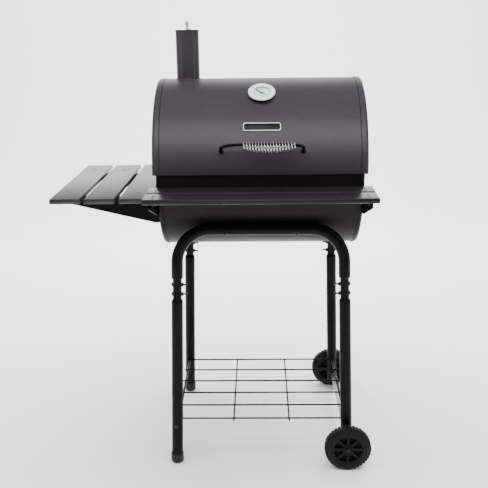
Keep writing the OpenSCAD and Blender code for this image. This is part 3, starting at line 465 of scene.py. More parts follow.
# ---- Thermometer ----
# A bimetal dial thermometer screwed through the lid: a stepped dark back ring, a bright bezel, a pale dial
# with generic marks, a thin pointer on a hub and a clear lens.
gauge_joint = joints["thermometer_needle_turn"]
gauge_out = -Vector(gauge_joint["axis"]).normalized()
gauge_up = gauge_out.cross(Vector((1, 0, 0)))
gauge_place = Matrix.Translation(gauge_joint["pos_m"]) @ Matrix((
    (1, 0, gauge_out.x, 0), (0, gauge_up.y, gauge_out.y, 0), (0, gauge_up.z, gauge_out.z, 0), (0, 0, 0, 1)))
BEZEL_R = 0.0385
WINDOW_R = 0.0255
dark_ring = finish("dark_ring", (0.012, 0.012, 0.013), (0.02, 0.02, 0.021), 0.32, bump=0.03)
bezel_plate = finish("bezel_plate", (0.97, 0.96, 0.97), (0.93, 0.92, 0.93), 0.40, spread=0.05, metallic=0.5,
                     bump=0.01)
piece("gauge_back_ring", lathe(rounded([
    (0.0052, 0.0, 0), (BEZEL_R - 0.006, 0.0, 0.0005), (BEZEL_R - 0.003, 0.0022, 0.0006),
    (BEZEL_R - 0.003, 0.0058, 0.0004), (0.0300, 0.0058, 0), (0.0300, 0.0030, 0), (0.0052, 0.0030, 0)]), 96,
    gauge_place), dark_ring, "lid", "chrome")
piece("gauge_bezel", lathe(rounded([
    (BEZEL_R - 0.0035, 0.0052, 0.0004), (BEZEL_R, 0.0066, 0.0010), (BEZEL_R, 0.0088, 0.0020),
    (BEZEL_R - 0.0034, 0.0120, 0.0026), (BEZEL_R - 0.0070, 0.0118, 0.0020), (WINDOW_R + 0.0018, 0.0098, 0.0010),
    (WINDOW_R, 0.0092, 0.0006), (WINDOW_R, 0.0056, 0), (BEZEL_R - 0.0035, 0.0045, 0)]), 128, gauge_place),
    bezel_plate, "lid", "chrome", "thermometer_case")

dial_paint = finish("dial_face", (0.42, 0.42, 0.44), (0.50, 0.50, 0.52), 0.42, spread=0.04, metallic=0.25,
                    bump=0.02, grain=2500)
DIAL_LOW, DIAL_Z = 0.0042, 0.0054
dial_r = WINDOW_R + 0.0004
piece("gauge_dial", lathe([(0.0, DIAL_Z), (dial_r, DIAL_Z), (dial_r, DIAL_LOW), (0.0, DIAL_LOW)], 96, gauge_place),
      dial_paint, "lid", "dial_face", "thermometer_dial")


def repeat_tree():
    """Geometry nodes that put a part on each point of a mesh, turned as the point's own attribute says."""
    tree = bpy.data.node_groups.new("repeat_on_points", "GeometryNodeTree")
    for name, kind in (("Points", "Geometry"), ("Part", "Object"), ("Size", "Float"), ("Material", "Material")):
        tree.interface.new_socket(name, in_out="INPUT", socket_type="NodeSocket" + kind)
    tree.interface.new_socket("Geometry", in_out="OUTPUT", socket_type="NodeSocketGeometry")
    enter = add_node(tree, "NodeGroupInput").outputs
    part = add_node(tree, "GeometryNodeObjectInfo", {"Object": enter["Part"]})
    turn = add_node(tree, "GeometryNodeInputNamedAttribute", {"Name": "turn"}, data_type="FLOAT_VECTOR")
    place = add_node(tree, "GeometryNodeInstanceOnPoints", {
        "Points": enter["Points"], "Instance": part.outputs["Geometry"], "Rotation": turn.outputs["Attribute"],
        "Scale": enter["Size"]})
    solid = add_node(tree, "GeometryNodeRealizeInstances", {"Geometry": place.outputs["Instances"]})
    dress = add_node(tree, "GeometryNodeSetMaterial", {
        "Geometry": solid.outputs["Geometry"], "Material": enter["Material"]})
    add_node(tree, "NodeGroupOutput", {"Geometry": dress.outputs["Geometry"]})
    return tree


REPEAT = repeat_tree()


def repeated(part, places, material):
    """One mesh of the part at each place: a matrix, or a point with the way that the part's +Z goes."""
    points, turns = [], []
    for place in places:
        if isinstance(place, Matrix):
            points.append(place.to_translation())
            turns.extend(place.to_euler("XYZ"))
        else:
            points.append(Vector(place[0]))
            turns.extend(Vector(place[1]).to_track_quat("Z", "Y").to_euler("XYZ"))
    spots = bpy.data.meshes.new("spots")
    spots.from_pydata(points, [], [])
    spots.attributes.new("turn", "FLOAT_VECTOR", "POINT").data.foreach_set("vector", turns)
    holder, source = add_object("spots", spots), add_object("part", part)
    modifier = holder.modifiers.new("repeat", "NODES")
    modifier.node_group = REPEAT
    inputs = {s.name: s.identifier for s in REPEAT.interface.items_tree if s.in_out == "INPUT"}
    modifier[inputs["Part"]] = source
    modifier[inputs["Size"]] = 1.0
    modifier[inputs["Material"]] = material
    mesh = bpy.data.meshes.new_from_object(holder.evaluated_get(bpy.context.evaluated_depsgraph_get()))
    holder.modifiers.clear()
    for made in (holder, source):
        bpy.data.objects.remove(made)
    return mesh


needle_paint = finish("needle_paint", (0.012, 0.012, 0.013), (0.02, 0.02, 0.02), 0.35)
MARK_REACH, MARK_H, MARK_LOW = 0.0238, 0.0003, 0.0053
DIAL_SWEEP = 270


def dial_marks(count, length, width):
    """Straight marks round the dial, from lower left to lower right."""
    mark = block((-width / 2, MARK_REACH - length, 0), (width / 2, MARK_REACH, MARK_H), 0.00008, 1)
    on_dial = gauge_place @ Matrix.Translation((0, 0, MARK_LOW))
    turns = [math.radians(DIAL_SWEEP / 2 - DIAL_SWEEP * i / (count - 1)) for i in range(count)]
    return repeated(mark, [on_dial @ Matrix.Rotation(turn, 4, "Z") for turn in turns], needle_paint)


piece("gauge_marks_fine", dial_marks(55, 0.0024, 0.00040), needle_paint, "lid", "dial_face")
piece("gauge_marks_bold", dial_marks(10, 0.0046, 0.0010), needle_paint, "lid", "dial_face")
LINE_IN, LINE_OUT, LINE_TOP = 0.0160, 0.0167, 0.0056
piece("gauge_ring_line", lathe([(LINE_IN, LINE_TOP), (LINE_OUT, LINE_TOP), (LINE_OUT, MARK_LOW), (LINE_IN, MARK_LOW)],
      96, gauge_place), needle_paint, "lid", "dial_face")

NEEDLE_ANGLE = math.radians(-42)
NEEDLE_LOW, NEEDLE_TOP = 0.0064, 0.0071
needle_place = gauge_place @ Matrix.Rotation(NEEDLE_ANGLE, 4, "Z")
bm = bmesh.new()
add_lathe(bm, rounded([
    (0, 0.0078, 0), (0.0030, 0.0078, 0.0008), (0.0040, 0.0070, 0.0006), (0.0040, 0.0060, 0.0003),
    (0.0013, 0.0060, 0), (0.0013, 0.0024, 0), (0, 0.0024, 0)]), 40, needle_place)
blade = [(0.0215, 0.0), (0.004, 0.0012), (-0.0120, 0.0016), (-0.0205, 0.0022), (-0.0205, -0.0022),
         (-0.0120, -0.0016), (0.004, -0.0012)]
add_skin(bm, [[needle_place @ Vector((x, y, z)) for x, y in blade] for z in (NEEDLE_LOW, NEEDLE_TOP)])
piece("gauge_pointer", to_mesh(bm), needle_paint, "thermometer_needle", "needle_paint", "thermometer_needle")

glass = bpy.data.materials.new("lens_glass")
glass.use_nodes = True
set_inputs(glass.node_tree, glass.node_tree.nodes["Principled BSDF"], {
    "Base Color": (0.93, 0.96, 0.97, 1), "Roughness": 0.03, "Transmission Weight": 1.0, "IOR": 1.12})
lens_r = WINDOW_R - 0.0004
lens = lathe(rounded([(0, 0.0094, 0), (lens_r, 0.0090, 0.0003), (lens_r, 0.0084, 0.0002), (0, 0.0084, 0)]), 96,
             gauge_place)
piece("gauge_lens", lens, glass, "lid", "lens_glass", "thermometer_lens")


# ---- Badge ----
# A blank rounded plate under the thermometer, pinned to the lid: a bright rim round a gloss black field.
badge_lo, badge_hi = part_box("badge")
BADGE_ANGLE = math.radians(32.3)
BADGE_H, BADGE_RIM = 0.024, 0.0022
badge_w = badge_hi.x - badge_lo.x


def on_lid(angle, x):
    """A place on the lid's front, at an angle above the horizontal, with +Z out and +Y up the sheet."""
    spin = Matrix.Rotation(math.pi / 2 - angle, 4, "X")
    return Matrix.Translation((x, axis.y, axis.z)) @ spin @ Matrix.Translation((0, 0, lid_r))


badge_place = on_lid(BADGE_ANGLE, (badge_lo.x + badge_hi.x) / 2)


def plate(width, height, radius, levels):
    """A rounded plate on the badge's place. Each level is an inset and a height."""
    rings = []
    for inset, z in levels:
        w, h, r = width / 2 - inset, height / 2 - inset, max(radius - inset, 0.0004)
        outline = rounded([(-w, -h, r), (w, -h, r), (w, h, r), (-w, h, r)], steps=8)
        rings.append([badge_place @ Vector((x, y, z)) for x, y in outline])
    bm = bmesh.new()
    add_skin(bm, rings)
    return to_mesh(bm)


piece("badge_rim", plate(badge_w, BADGE_H, 0.006, [
    (0, 0.0), (0, 0.0022), (0.0003, 0.0028), (0.0008, 0.0030), (0.0014, 0.0030), (0.0019, 0.0027), (0.0021, 0.0020)]),
    bezel_plate, "lid", "badge_face", "badge")
badge_black = finish("badge_black", (0.006, 0.006, 0.0065), (0.009, 0.009, 0.0095), 0.30, spread=0.03, bump=0.01,
                     specular=0.15)
piece("badge_field", plate(badge_w - 2 * BADGE_RIM, BADGE_H - 2 * BADGE_RIM, 0.004, [
    (0, 0.0019), (0, 0.0024), (0.0004, 0.0026)]), badge_black, "lid", "badge_face")


# ---- Handle ----
# A bent black rod through the lid, held by a collar on each side of the sheet at each foot. A bright coil of
# wire, wider in its middle, hangs loose on it as a cool grip, so that its turns line up along the top.
stand_paint = finish("stand_paint", (0.0026, 0.0020, 0.0022), (0.0036, 0.0030, 0.0032), 0.36, spread=0.05,
                     bump=0.10, grain=1100, specular=0.09)
rod_lo, rod_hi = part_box("handle_rod")
ROD_R = 0.004
HANDLE_TILT = math.radians(30)
HANDLE_ANGLE = math.radians(16.4)
HANDLE_FOOT, HANDLE_BOW = 0.031, 0.020
ELBOW, ELBOW_RISE = 0.006, 0.0072
handle_x = (rod_lo.x + rod_hi.x) / 2
handle_half = (rod_hi.x - rod_lo.x) / 2 - ROD_R - 0.0001
foot_y, foot_z = axis.y - lid_r * math.cos(HANDLE_ANGLE), axis.z + lid_r * math.sin(HANDLE_ANGLE)
handle_place = Matrix.Translation((handle_x, foot_y, foot_z)) @ Matrix.Rotation(math.pi / 2 - HANDLE_TILT, 4, "X")
bow_r = HANDLE_BOW / (1 - math.cos(math.pi / 4))
grip_half = handle_half - bow_r * math.sin(math.pi / 4)


def handle_path():
    """Half of the handle's centre line, from inside the lid to the middle of the grip."""
    points = [(handle_half, -0.014), (handle_half, HANDLE_FOOT - ELBOW)]
    for i in range(1, 7):
        a = math.pi / 4 * i / 6
        points.append((handle_half - ELBOW * (1 - math.cos(a)), HANDLE_FOOT - ELBOW + ELBOW_RISE * math.sin(a)))
    for i in range(3, 17):
        a = math.pi / 4 * (1 + i / 16)
        points.append((grip_half + bow_r * math.cos(a), HANDLE_FOOT + HANDLE_BOW - bow_r + bow_r * math.sin(a)))
    points.append((0.0, HANDLE_FOOT + HANDLE_BOW))
    return points


half_path = handle_path()
whole_path = [(x, h) for x, h in half_path] + [(-x, h) for x, h in reversed(half_path[:-1])]
piece("handle_bar", sweep([handle_place @ Vector((x, 0, h)) for x, h in whole_path], ROD_R), stand_paint, "lid",
      "stand_paint", "handle_rod")
bm = bmesh.new()
for side in (-1, 1):
    foot = handle_place @ Matrix.Translation((side * handle_half, 0, 0))
    add_lathe(bm, rounded([(ROD_R, 0.0046, 0), (0.0058, 0.0046, 0.0008), (0.0068, 0.0034, 0.0006),
                           (0.0068, -0.0022, 0), (ROD_R, -0.0008, 0)]), 40, foot)
    add_lathe(bm, rounded([(ROD_R, -0.0025, 0), (0.0078, -0.0045, 0), (0.0078, -0.0112, 0.0008),
                           (0.0066, -0.0120, 0.0006), (ROD_R, -0.0120, 0)]), 40, foot)
piece("handle_collar_pairs", to_mesh(bm), stand_paint, "lid", "stand_paint", "handle_collars")

coil_plate = finish("coil_plate", (0.92, 0.92, 0.93), (0.86, 0.86, 0.87), 0.26, spread=0.04, metallic=1.0,
                    bump=0.01)
COIL_TURNS, COIL_STEPS, COIL_WIRE, COIL_PLATING = 18, 28, 0.0015, 0.0002
COIL_END, COIL_MIDDLE = 0.0100, 0.0160
coil_lo, coil_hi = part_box("handle_coil")
coil_len = coil_hi.x - coil_lo.x - 2 * COIL_WIRE
coil_at = (Vector(coil_lo) + Vector(coil_hi)) / 2
coil_path = []
for i in range(COIL_TURNS * COIL_STEPS + 1):
    t = i / (COIL_TURNS * COIL_STEPS)
    r, a = COIL_END + (COIL_MIDDLE - COIL_END) * (1 - (2 * t - 1) ** 2), 2 * math.pi * COIL_TURNS * t
    sag = r - COIL_END
    coil_path.append(coil_at + Vector((coil_len * (t - 0.5), r * math.cos(a), r * math.sin(a) - sag)))
piece("grip_coil", sweep(coil_path, COIL_WIRE + COIL_PLATING, 12), coil_plate, "lid", "chrome", "handle_coil")


# ---- Hinges and grates ----
# Two butt hinges behind the lid, riveted to it and to the firebox and painted the stand's black. Two cast
# iron cooking grates rest on ledges over a welded charcoal grate.
wear(stand_paint, "stand_paint", "hinge_lower_leaves", "hinge_upper_leaves")
cast = finish("cast_iron", (0.020, 0.020, 0.021), (0.032, 0.030, 0.029), 0.62, metallic=0.3, bump=0.4, grain=420)
wear(cast, "cast_iron", "cooking_grate_left", "cooking_grate_right")


# ---- Stand ----
# Two leaning U-frames of powder-coated tube. Each is two half arches, the left one's thinner end pushed into
# the right one, and two legs that are bolted into the arches' necked ends.
TUBE_R, TUBE_WALL = 0.017, 0.0015
LEAN, SPLAY = math.radians(2.15), math.radians(1.74)
ARCH_ANGLE = math.radians(36.6)
LEG_FOOT_X = 0.261
BEND_R = 0.100
JOINT_Z, NECK_LEN, NECK_R = 0.528, 0.058, 0.013
NECK_TAPER = 0.008
SEAM_X = -0.021
FOOT_FLOOR = 0.006
reach = firebox_r + TUBE_R
arch_y, arch_z = reach * math.cos(ARCH_ANGLE), axis.z - reach * math.sin(ARCH_ANGLE)
corner_x = LEG_FOOT_X - math.tan(SPLAY) * arch_z / math.cos(LEAN)
tangent = BEND_R * math.tan((math.pi / 2 - SPLAY) / 2)


def frame_place(side):
    """The plane of a U-frame: +X along the arch and +Z up the lean, from the middle of the arch."""
    return Matrix.Translation((axis.x, axis.y + side * arch_y, arch_z)) @ Matrix.Rotation(side * LEAN, 4, "X")


def leg_place(side, side_x):
    """+Z up a leg's line, from the corner where it would meet the arch."""
    corner = Matrix.Translation((side_x * corner_x, 0, 0)) @ Matrix.Rotation(-side_x * SPLAY, 4, "Y")
    return frame_place(side) @ corner


def along(z):
    """How far down a leg's line a height is."""
    return (arch_z - z) / (math.cos(LEAN) * math.cos(SPLAY))


def half_arch(side, side_x):
    """The bent half of an arch, from its seam to the end of its neck."""
    seam_x = side_x * SEAM_X
    down = Vector((math.sin(SPLAY), 0, -math.cos(SPLAY)))
    corner = Vector((corner_x, 0, 0))
    top, end = along(JOINT_Z + NECK_LEN), along(JOINT_Z)
    if side_x < 0:
        start = ((-0.03, 0.0019), (0.0002, 0.0019), (0.0016, 0.0012), (0.004, 0))
    else:
        start = ((0, 0.0007), (0.0004, 0.0002), (0.001, 0))
    run = [(Vector((seam_x + x, 0, 0)), TUBE_R - thinner) for x, thinner in start]
    for i in range(33):
        a = math.pi / 2 - (math.pi / 2 - SPLAY) * i / 32
        bend = Vector((corner_x - tangent + BEND_R * math.cos(a), 0, -BEND_R + BEND_R * math.sin(a)))
        run.append((bend, TUBE_R))
    for i in range(9):
        t = i / 8
        width = TUBE_R + (NECK_R - TUBE_R) * (3 * t * t - 2 * t ** 3)
        run.append((corner + down * (top - NECK_TAPER + NECK_TAPER * t), width))
    run += [(corner + down * (end - 0.0012), NECK_R), (corner + down * (end - 0.0006), NECK_R - 0.0005)]
    place = frame_place(side)
    return sweep([place @ Vector((side_x * p.x, p.y, p.z)) for p, _ in run], [width for _, width in run], 40)


def leg_tube(side, side_x, low):
    """A leg, open at its lower end, that narrows to the neck's width where the arch's neck stands on it."""
    top, bottom = -along(JOINT_Z), -along(low)
    bore, depth = TUBE_R - TUBE_WALL, 0.05
    return lathe(rounded([
        (TUBE_R, bottom, 0.0006), (TUBE_R, top - NECK_TAPER, 0.0030), (NECK_R, top, 0.0010), (NECK_R - 0.0012, top, 0),
        (NECK_R - 0.0012, top + 0.001, 0), (0, top + 0.001, 0), (0, bottom + depth, 0), (bore, bottom + depth, 0),
        (bore, bottom, 0.0004)]), 48, leg_place(side, side_x))


wheeled_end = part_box("leg_front_right")[0].z
for side, end in ((-1, "front"), (1, "rear")):
    for side_x, hand in SIDES:
        arch, leg = end + "_arch_" + hand, "leg_" + end + "_" + hand
        low = FOOT_FLOOR if side_x < 0 else wheeled_end + 0.0008
        piece(arch + "_tube", half_arch(side, side_x), stand_paint, BODY, "stand_paint", arch)
        piece(leg + "_tube", leg_tube(side, side_x, low), stand_paint, BODY, "stand_paint", leg)

foot_plastic = finish("foot_plastic", (0.006, 0.006, 0.006), (0.009, 0.009, 0.009), 0.5, bump=0.15, grain=700,
                      specular=0.3)
FOOT_R, FOOT_H = 0.0195, 0.032
FOOT_BORE, FOOT_SOLE = FOOT_R - 0.0035, 0.008
bm = bmesh.new()
for side in (-1, 1):
    at = leg_place(side, -1) @ Vector((0, 0, -along(FOOT_H / 2)))
    add_lathe(bm, rounded([
        (0, 0, 0), (FOOT_R - 0.004, 0, 0.003), (FOOT_R, 0.006, 0.004), (FOOT_R, FOOT_H - 0.004, 0.0008),
        (FOOT_R - 0.0008, FOOT_H, 0.0006), (FOOT_BORE, FOOT_H, 0.0004), (FOOT_BORE, FOOT_SOLE, 0),
        (0, FOOT_SOLE, 0)]), 48, Matrix.Translation((at.x, at.y, 0)))
piece("foot_caps", to_mesh(bm), foot_plastic, BODY, "wheel_plastic", "feet")


def bolt_mesh(head_r, length, head_h=0.004, shank_r=0.003, pitch=0.001):
    """A dome-headed bolt whose head sits on the origin, with a plain shank that ends in a threaded tip."""
    outline = rounded([(0, head_h, 0), (head_r * 0.6, head_h * 0.93, head_r * 0.3),
                       (head_r, head_h * 0.28, head_r * 0.2), (head_r, 0, 0.0002), (shank_r, 0, 0)],
                      closed=False, steps=4)
    threads = min(14, int(length / pitch) - 3)
    for i in range(threads):
        base = -length + pitch * (threads - i)
        outline += [(shank_r, base), (shank_r - 0.0004, base - pitch / 2)]
    return lathe(outline + [(shank_r - 0.0006, -length), (0, -length)], 24)


def hexagon(angle):
    """How far out a hexagon's edge is, as a share of its corners' radius."""
    return math.cos(math.pi / 6) / math.cos((angle % (math.pi / 3)) - math.pi / 6)


def nut_mesh(radius, height, bore):
    """A hexagon nut with turned corners, seated on the origin."""
    rings = []
    for r, z in ((bore, 0), (radius * 0.90, 0), (radius, height * 0.14), (radius, height * 0.86),
                 (radius * 0.90, height), (bore, height)):
        ring = []
        for i in range(24):
            a = 2 * math.pi * i / 24
            width = r if r == bore else min(r, radius * hexagon(a))
            ring.append(Vector((width * math.cos(a), width * math.sin(a), z)))
        rings.append(ring)
    bm = bmesh.new()
    add_skin(bm, rings, loop=True)
    return to_mesh(bm)


def merged(meshes):
    """A bmesh of several meshes."""
    bm = bmesh.new()
    for mesh in meshes:
        bm.from_mesh(mesh)
    return bm


# Bolts lie on rays from the barrel's axis, across the necks, and along X through the firebox's end caps
ARCH_BOLT_X, NECK_BOLT_STEP = 0.102, 0.01425
NUT_R, NUT_H, BOLT_R = 0.0063, 0.005, 0.003
BRACKET_SHARES = (-0.876, 0.505)
BRACKET_T = 0.002
FRONT_BOLT_Z, SIDE_BOLT_Z, SIDE_BOLT_IN = (-0.058, -0.086), (-0.072, -0.112), 0.025
neck_middle = JOINT_Z + NECK_LEN / 2
arch_spots, neck_spots, neck_nut_spots, arch_nut_spots = [], [], [], []
for side in (-1, 1):
    way = Vector((0, side * math.cos(ARCH_ANGLE), -math.sin(ARCH_ANGLE)))
    for side_x in (-1, 1):
        ray = Vector((axis.x + side_x * ARCH_BOLT_X, axis.y, axis.z))
        arch_spots.append((ray + way * (firebox_r + 2 * TUBE_R), way))
        arch_nut_spots.append((ray + way * (firebox_r - 0.0003 - NUT_H - SHEET), way))
        for step in (-NECK_BOLT_STEP, NECK_BOLT_STEP):
            place = leg_place(side, side_x)
            out = (place.to_3x3() @ Vector((side_x, 0, 0))).normalized()
            middle = place @ Vector((0, 0, -along(neck_middle) + step))
            neck_spots.append((middle + out * NECK_R, out))
            neck_nut_spots.append((middle - out * (NECK_R + NUT_H + 0.0001), out))
bracket_y = [axis.y + share * firebox_r for share in BRACKET_SHARES]
cap_left, cap_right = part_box("firebox_end_left")[0].x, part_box("firebox_end_right")[1].x
cap_spots = [(side_x, x, bracket_y[0], z) for side_x, x in ((-1, cap_left), (1, cap_right)) for z in FRONT_BOLT_Z]
cap_spots += [(-1, cap_left, y + SIDE_BOLT_IN, z) for y in bracket_y for z in SIDE_BOLT_Z]
bracket_spots, bracket_nut_spots = [
    [((x + side_x * out, y, axis.z + z), (side_x, 0, 0)) for side_x, x, y, z in cap_spots]
    for out in (BRACKET_T + 0.0002, -CAP - NUT_H - 0.0002)]
bolts = merged([repeated(bolt_mesh(0.007, 0.044), arch_spots, black_zinc),
                repeated(bolt_mesh(0.0065, 0.042), neck_spots, black_zinc),
                repeated(bolt_mesh(0.0065, 0.0127), bracket_spots, black_zinc)])
piece("stand_bolts", to_mesh(bolts), black_zinc, BODY, "black_zinc", "frame_bolts")
nuts = repeated(nut_mesh(NUT_R, NUT_H, BOLT_R), arch_nut_spots + neck_nut_spots + bracket_nut_spots, black_zinc)
piece("stand_nuts", nuts, black_zinc, BODY, "black_zinc", "frame_nuts")


# ---- Wheels ----
# One-piece moulded wheels on a plain axle. Eight ribs join the hub to the rim, and two staggered rows of lugs
# make the tread. A spacer keeps each off its leg, and a pressed cap nut holds it on.
wheel_plastic = finish("wheel_plastic", (0.0062, 0.0052, 0.0054), (0.0088, 0.0076, 0.0079), 0.50, spread=0.06,
                       bump=0.25, grain=650, specular=0.12)
wheel_lo, wheel_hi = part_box("wheel_front")
wheel_r = (wheel_hi.x - wheel_lo.x) / 2
wheel_w = wheel_hi.y - wheel_lo.y
wheel_at = Vector((wheel_lo.x + wheel_r, 0, wheel_r))
AXLE_R, AXLE_GAP, HUB_R = 0.005, 0.0002, 0.0165
WEB_HALF = 0.002
RIBS, LUGS, LUG, LUG_LONG = 8, 38, 0.0026, 0.0037
CROWN = LUG - 0.00015           # keeps a lug's corners inside the wheel's radius
opening = 0.60 * wheel_r


def add_wheel(bm, place):
    """A wheel's rim, hub and web, with its inner face on the origin and +Z out."""
    w, r, bore = wheel_w, wheel_r - LUG, AXLE_R + AXLE_GAP
    add_lathe(bm, rounded([
        (opening, 0.004, 0.001), (opening + 0.004, 0.001, 0.001), (r - 0.011, 0.0, 0.003), (r - 0.001, 0.006, 0.004),
        (r, w / 2, 0.02), (r - 0.001, w - 0.006, 0.004), (r - 0.011, w, 0.003), (r - 0.014, w - 0.0012, 0.0006),
        (r - 0.016, w - 0.0012, 0.0006), (r - 0.018, w, 0.001), (opening + 0.003, w - 0.001, 0.001),
        (opening, w - 0.004, 0.001)]), 128, place)
    add_lathe(bm, rounded([
        (bore, 0, 0.0005), (HUB_R, 0, 0.0010), (HUB_R, w - 0.001, 0.0012), (HUB_R - 0.004, w, 0.0008),
        (HUB_R - 0.006, w - 0.003, 0.0006), (bore, w - 0.003, 0.0004)]), 64, place)
    inner, outer, low, high = HUB_R - 0.001, opening + 0.002, w / 2 - WEB_HALF, w / 2 + WEB_HALF
    add_lathe(bm, [(inner, low), (outer, low), (outer, high), (inner, high)], 96, place)


def rib_mesh():
    """One rib: a tapering blade with rounded edges, from the hub out along +X."""
    rings = []
    for x, half, deep in ((0.0150, 0.0050, 0.0045), (0.0250, 0.0036, 0.0055), (0.0360, 0.0036, 0.0060),
                          (opening + 0.0012, 0.0052, 0.0050)):
        section = [(y, z, 0.0012) for y, z in (
            (-half, deep), (half, deep), (half, wheel_w - deep), (-half, wheel_w - deep))]
        rings.append([Vector((x, y, z)) for y, z in rounded(section, steps=3)])
    bm = bmesh.new()
    add_skin(bm, rings)
    return to_mesh(bm)


def lug_mesh():
    """One tread lug, a block that narrows outwards and wraps over the shoulder."""
    r, half, foot = wheel_r - LUG, LUG_LONG, LUG_LONG + 0.0006
    rings = []
    for z, sunk, out in ((0.0030, 0.0085, -0.0060), (0.0052, 0.003, -0.0008), (0.0075, 0.003, CROWN - 0.0002),
                         (wheel_w / 2 - 0.0012, 0.003, CROWN), (wheel_w / 2 - 0.0004, 0.003, -0.0005)):
        top = r + out
        base = min(r - sunk, top - 0.0004)
        rings.append([Vector((x, y, z)) for x, y in ((base, -foot), (base, foot), (top, half), (top, -half))])
    bm = bmesh.new()
    add_skin(bm, rings)
    return to_mesh(bm)


for side, name in ((-1, "wheel_front"), (1, "wheel_rear")):
    low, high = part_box(name)
    inner_y = high.y if side < 0 else low.y
    place = Matrix.Translation((wheel_at.x, inner_y, wheel_at.z)) @ Matrix.Rotation(-side * math.pi / 2, 4, "X")
    ribs = [place @ Matrix.Rotation(2 * math.pi * i / RIBS, 4, "Z") for i in range(RIBS)]
    far_row = place @ Matrix.Translation((0, 0, wheel_w))
    lugs = []
    for i in range(LUGS):
        a = 2 * math.pi * i / LUGS
        lugs.append(place @ Matrix.Rotation(a, 4, "Z"))
        lugs.append(far_row @ Matrix.Rotation(a + math.pi / LUGS, 4, "Z") @ Matrix.Rotation(math.pi, 4, "X"))
    bm = bmesh.new()
    add_wheel(bm, place)
    bm.from_mesh(repeated(rib_mesh(), ribs, wheel_plastic))
    bm.from_mesh(repeated(lug_mesh(), lugs, wheel_plastic))
    piece(name + "_moulding", to_mesh(bm), wheel_plastic, name, "wheel_plastic", name, angle=40)
wear(wheel_plastic, "wheel_plastic", "axle_spacers")

nut_lo, nut_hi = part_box("axle_cap_nuts")
bm = bmesh.new()
for side, tip in ((-1, nut_lo.y), (1, nut_hi.y)):
    place = Matrix.Translation((wheel_at.x, tip, wheel_at.z)) @ Matrix.Rotation(-side * math.pi / 2, 4, "X")
    add_lathe(bm, rounded([
        (0, 0, 0), (0.0045, -0.0006, 0.002), (0.0078, -0.0035, 0.002), (0.0080, -0.0066, 0.0004),
        (0.0055, -0.0066, 0), (0.0055, -0.004, 0), (0, -0.004, 0)]), 40, place)
piece("axle_caps", to_mesh(bm), black_zinc, BODY, "black_zinc", "axle_cap_nuts")


# ---- Wire rack ----
# Long wires lie on two rods that go through the legs, and two wires are welded across under them. Push-on
# caps hold the rods, and everything is in the stand's black.
long_lo, long_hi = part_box("rack_long_wires")
cross_lo, cross_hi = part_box("rack_cross_wires")
WIRE_R, COATED_R, WIRE_EDGE = 0.002, 0.0026, 0.0008
RACK_WIRES = 6
wire_z, cross_z = long_hi.z - WIRE_R, cross_hi.z - WIRE_R
wire_step = (long_hi.y - long_lo.y - 2 * WIRE_R) / (RACK_WIRES - 1)


def wires(length, spots):
    """Straight coated wires with rounded ends, one from each spot."""
    wire = lathe(rounded([(0, 0, 0), (COATED_R, 0, WIRE_EDGE), (COATED_R, length, WIRE_EDGE), (0, length, 0)]), 16)
    return repeated(wire, spots, stand_paint)


long_spots = [((long_lo.x, long_lo.y + WIRE_R + i * wire_step, wire_z), (1, 0, 0)) for i in range(RACK_WIRES)]
cross_spots = [((x, cross_lo.y, cross_z), (0, 1, 0)) for x in (cross_lo.x + WIRE_R, cross_hi.x - WIRE_R)]
piece("rack_wires", wires(long_hi.x - long_lo.x, long_spots), stand_paint, BODY, "stand_paint", "rack_long_wires")
piece("rack_cross_pair", wires(cross_hi.y - cross_lo.y, cross_spots), stand_paint, BODY, "stand_paint",
      "rack_cross_wires")
wear(stand_paint, "stand_paint", "rack_rails")
wear(black_zinc, "black_zinc", "rack_rail_caps")


# ---- Shelves ----
# Planed slats with rounded edges and black satin paint: two along the front and three on the left. Folded
# steel brackets on the firebox ends carry them, and countersunk socket screws with nuts hold them down.
SLAT_LOOK = {"spread": 0.04, "bump": 0.16, "cloud": 5, "grain": 260}
# The slats are one paint in two copies: the front slats' copy is darker and less glossy, which is painted shade, and
# the side slats' copy is lighter and glossier, which is painted light for the light that the side shelf catches.
slat_paint = finish("slat_paint", (0.0075, 0.0064, 0.0078), (0.0105, 0.0092, 0.0108), 0.30,
                    stretch=(0.12, 1, 1), specular=0.28, **SLAT_LOOK)
side_slat_paint_lit = finish("side_slat_paint_lit", (0.013, 0.0125, 0.014), (0.018, 0.017, 0.019), 0.30,
                         stretch=(1, 0.12, 1), **SLAT_LOOK)
SLAT_END = ((0, 0.0016), (0.0005, 0.0005), (0.0016, 0))


def add_slat(bm, low, high, along_y, edge):
    """A board between two corners, its section rounded and its ends softened."""
    middle = (low + high) / 2
    across, start, end = (high.x - low.x, low.y, high.y) if along_y else (high.y - low.y, low.x, high.x)
    places = [(start + step, inset) for step, inset in SLAT_END]
    places += [(end - step, inset) for step, inset in reversed(SLAT_END)]
    rings = []
    for at, inset in places:
        w, d, r = across / 2 - inset, (high.z - low.z) / 2 - inset, edge - inset
        ring = rounded([(-w, -d, r), (w, -d, r), (w, d, r), (-w, d, r)])
        if along_y:
            rings.append([Vector((middle.x + p, at, middle.z + q)) for p, q in ring])
        else:
            rings.append([Vector((at, middle.y + p, middle.z + q)) for p, q in ring])
    add_skin(bm, rings)


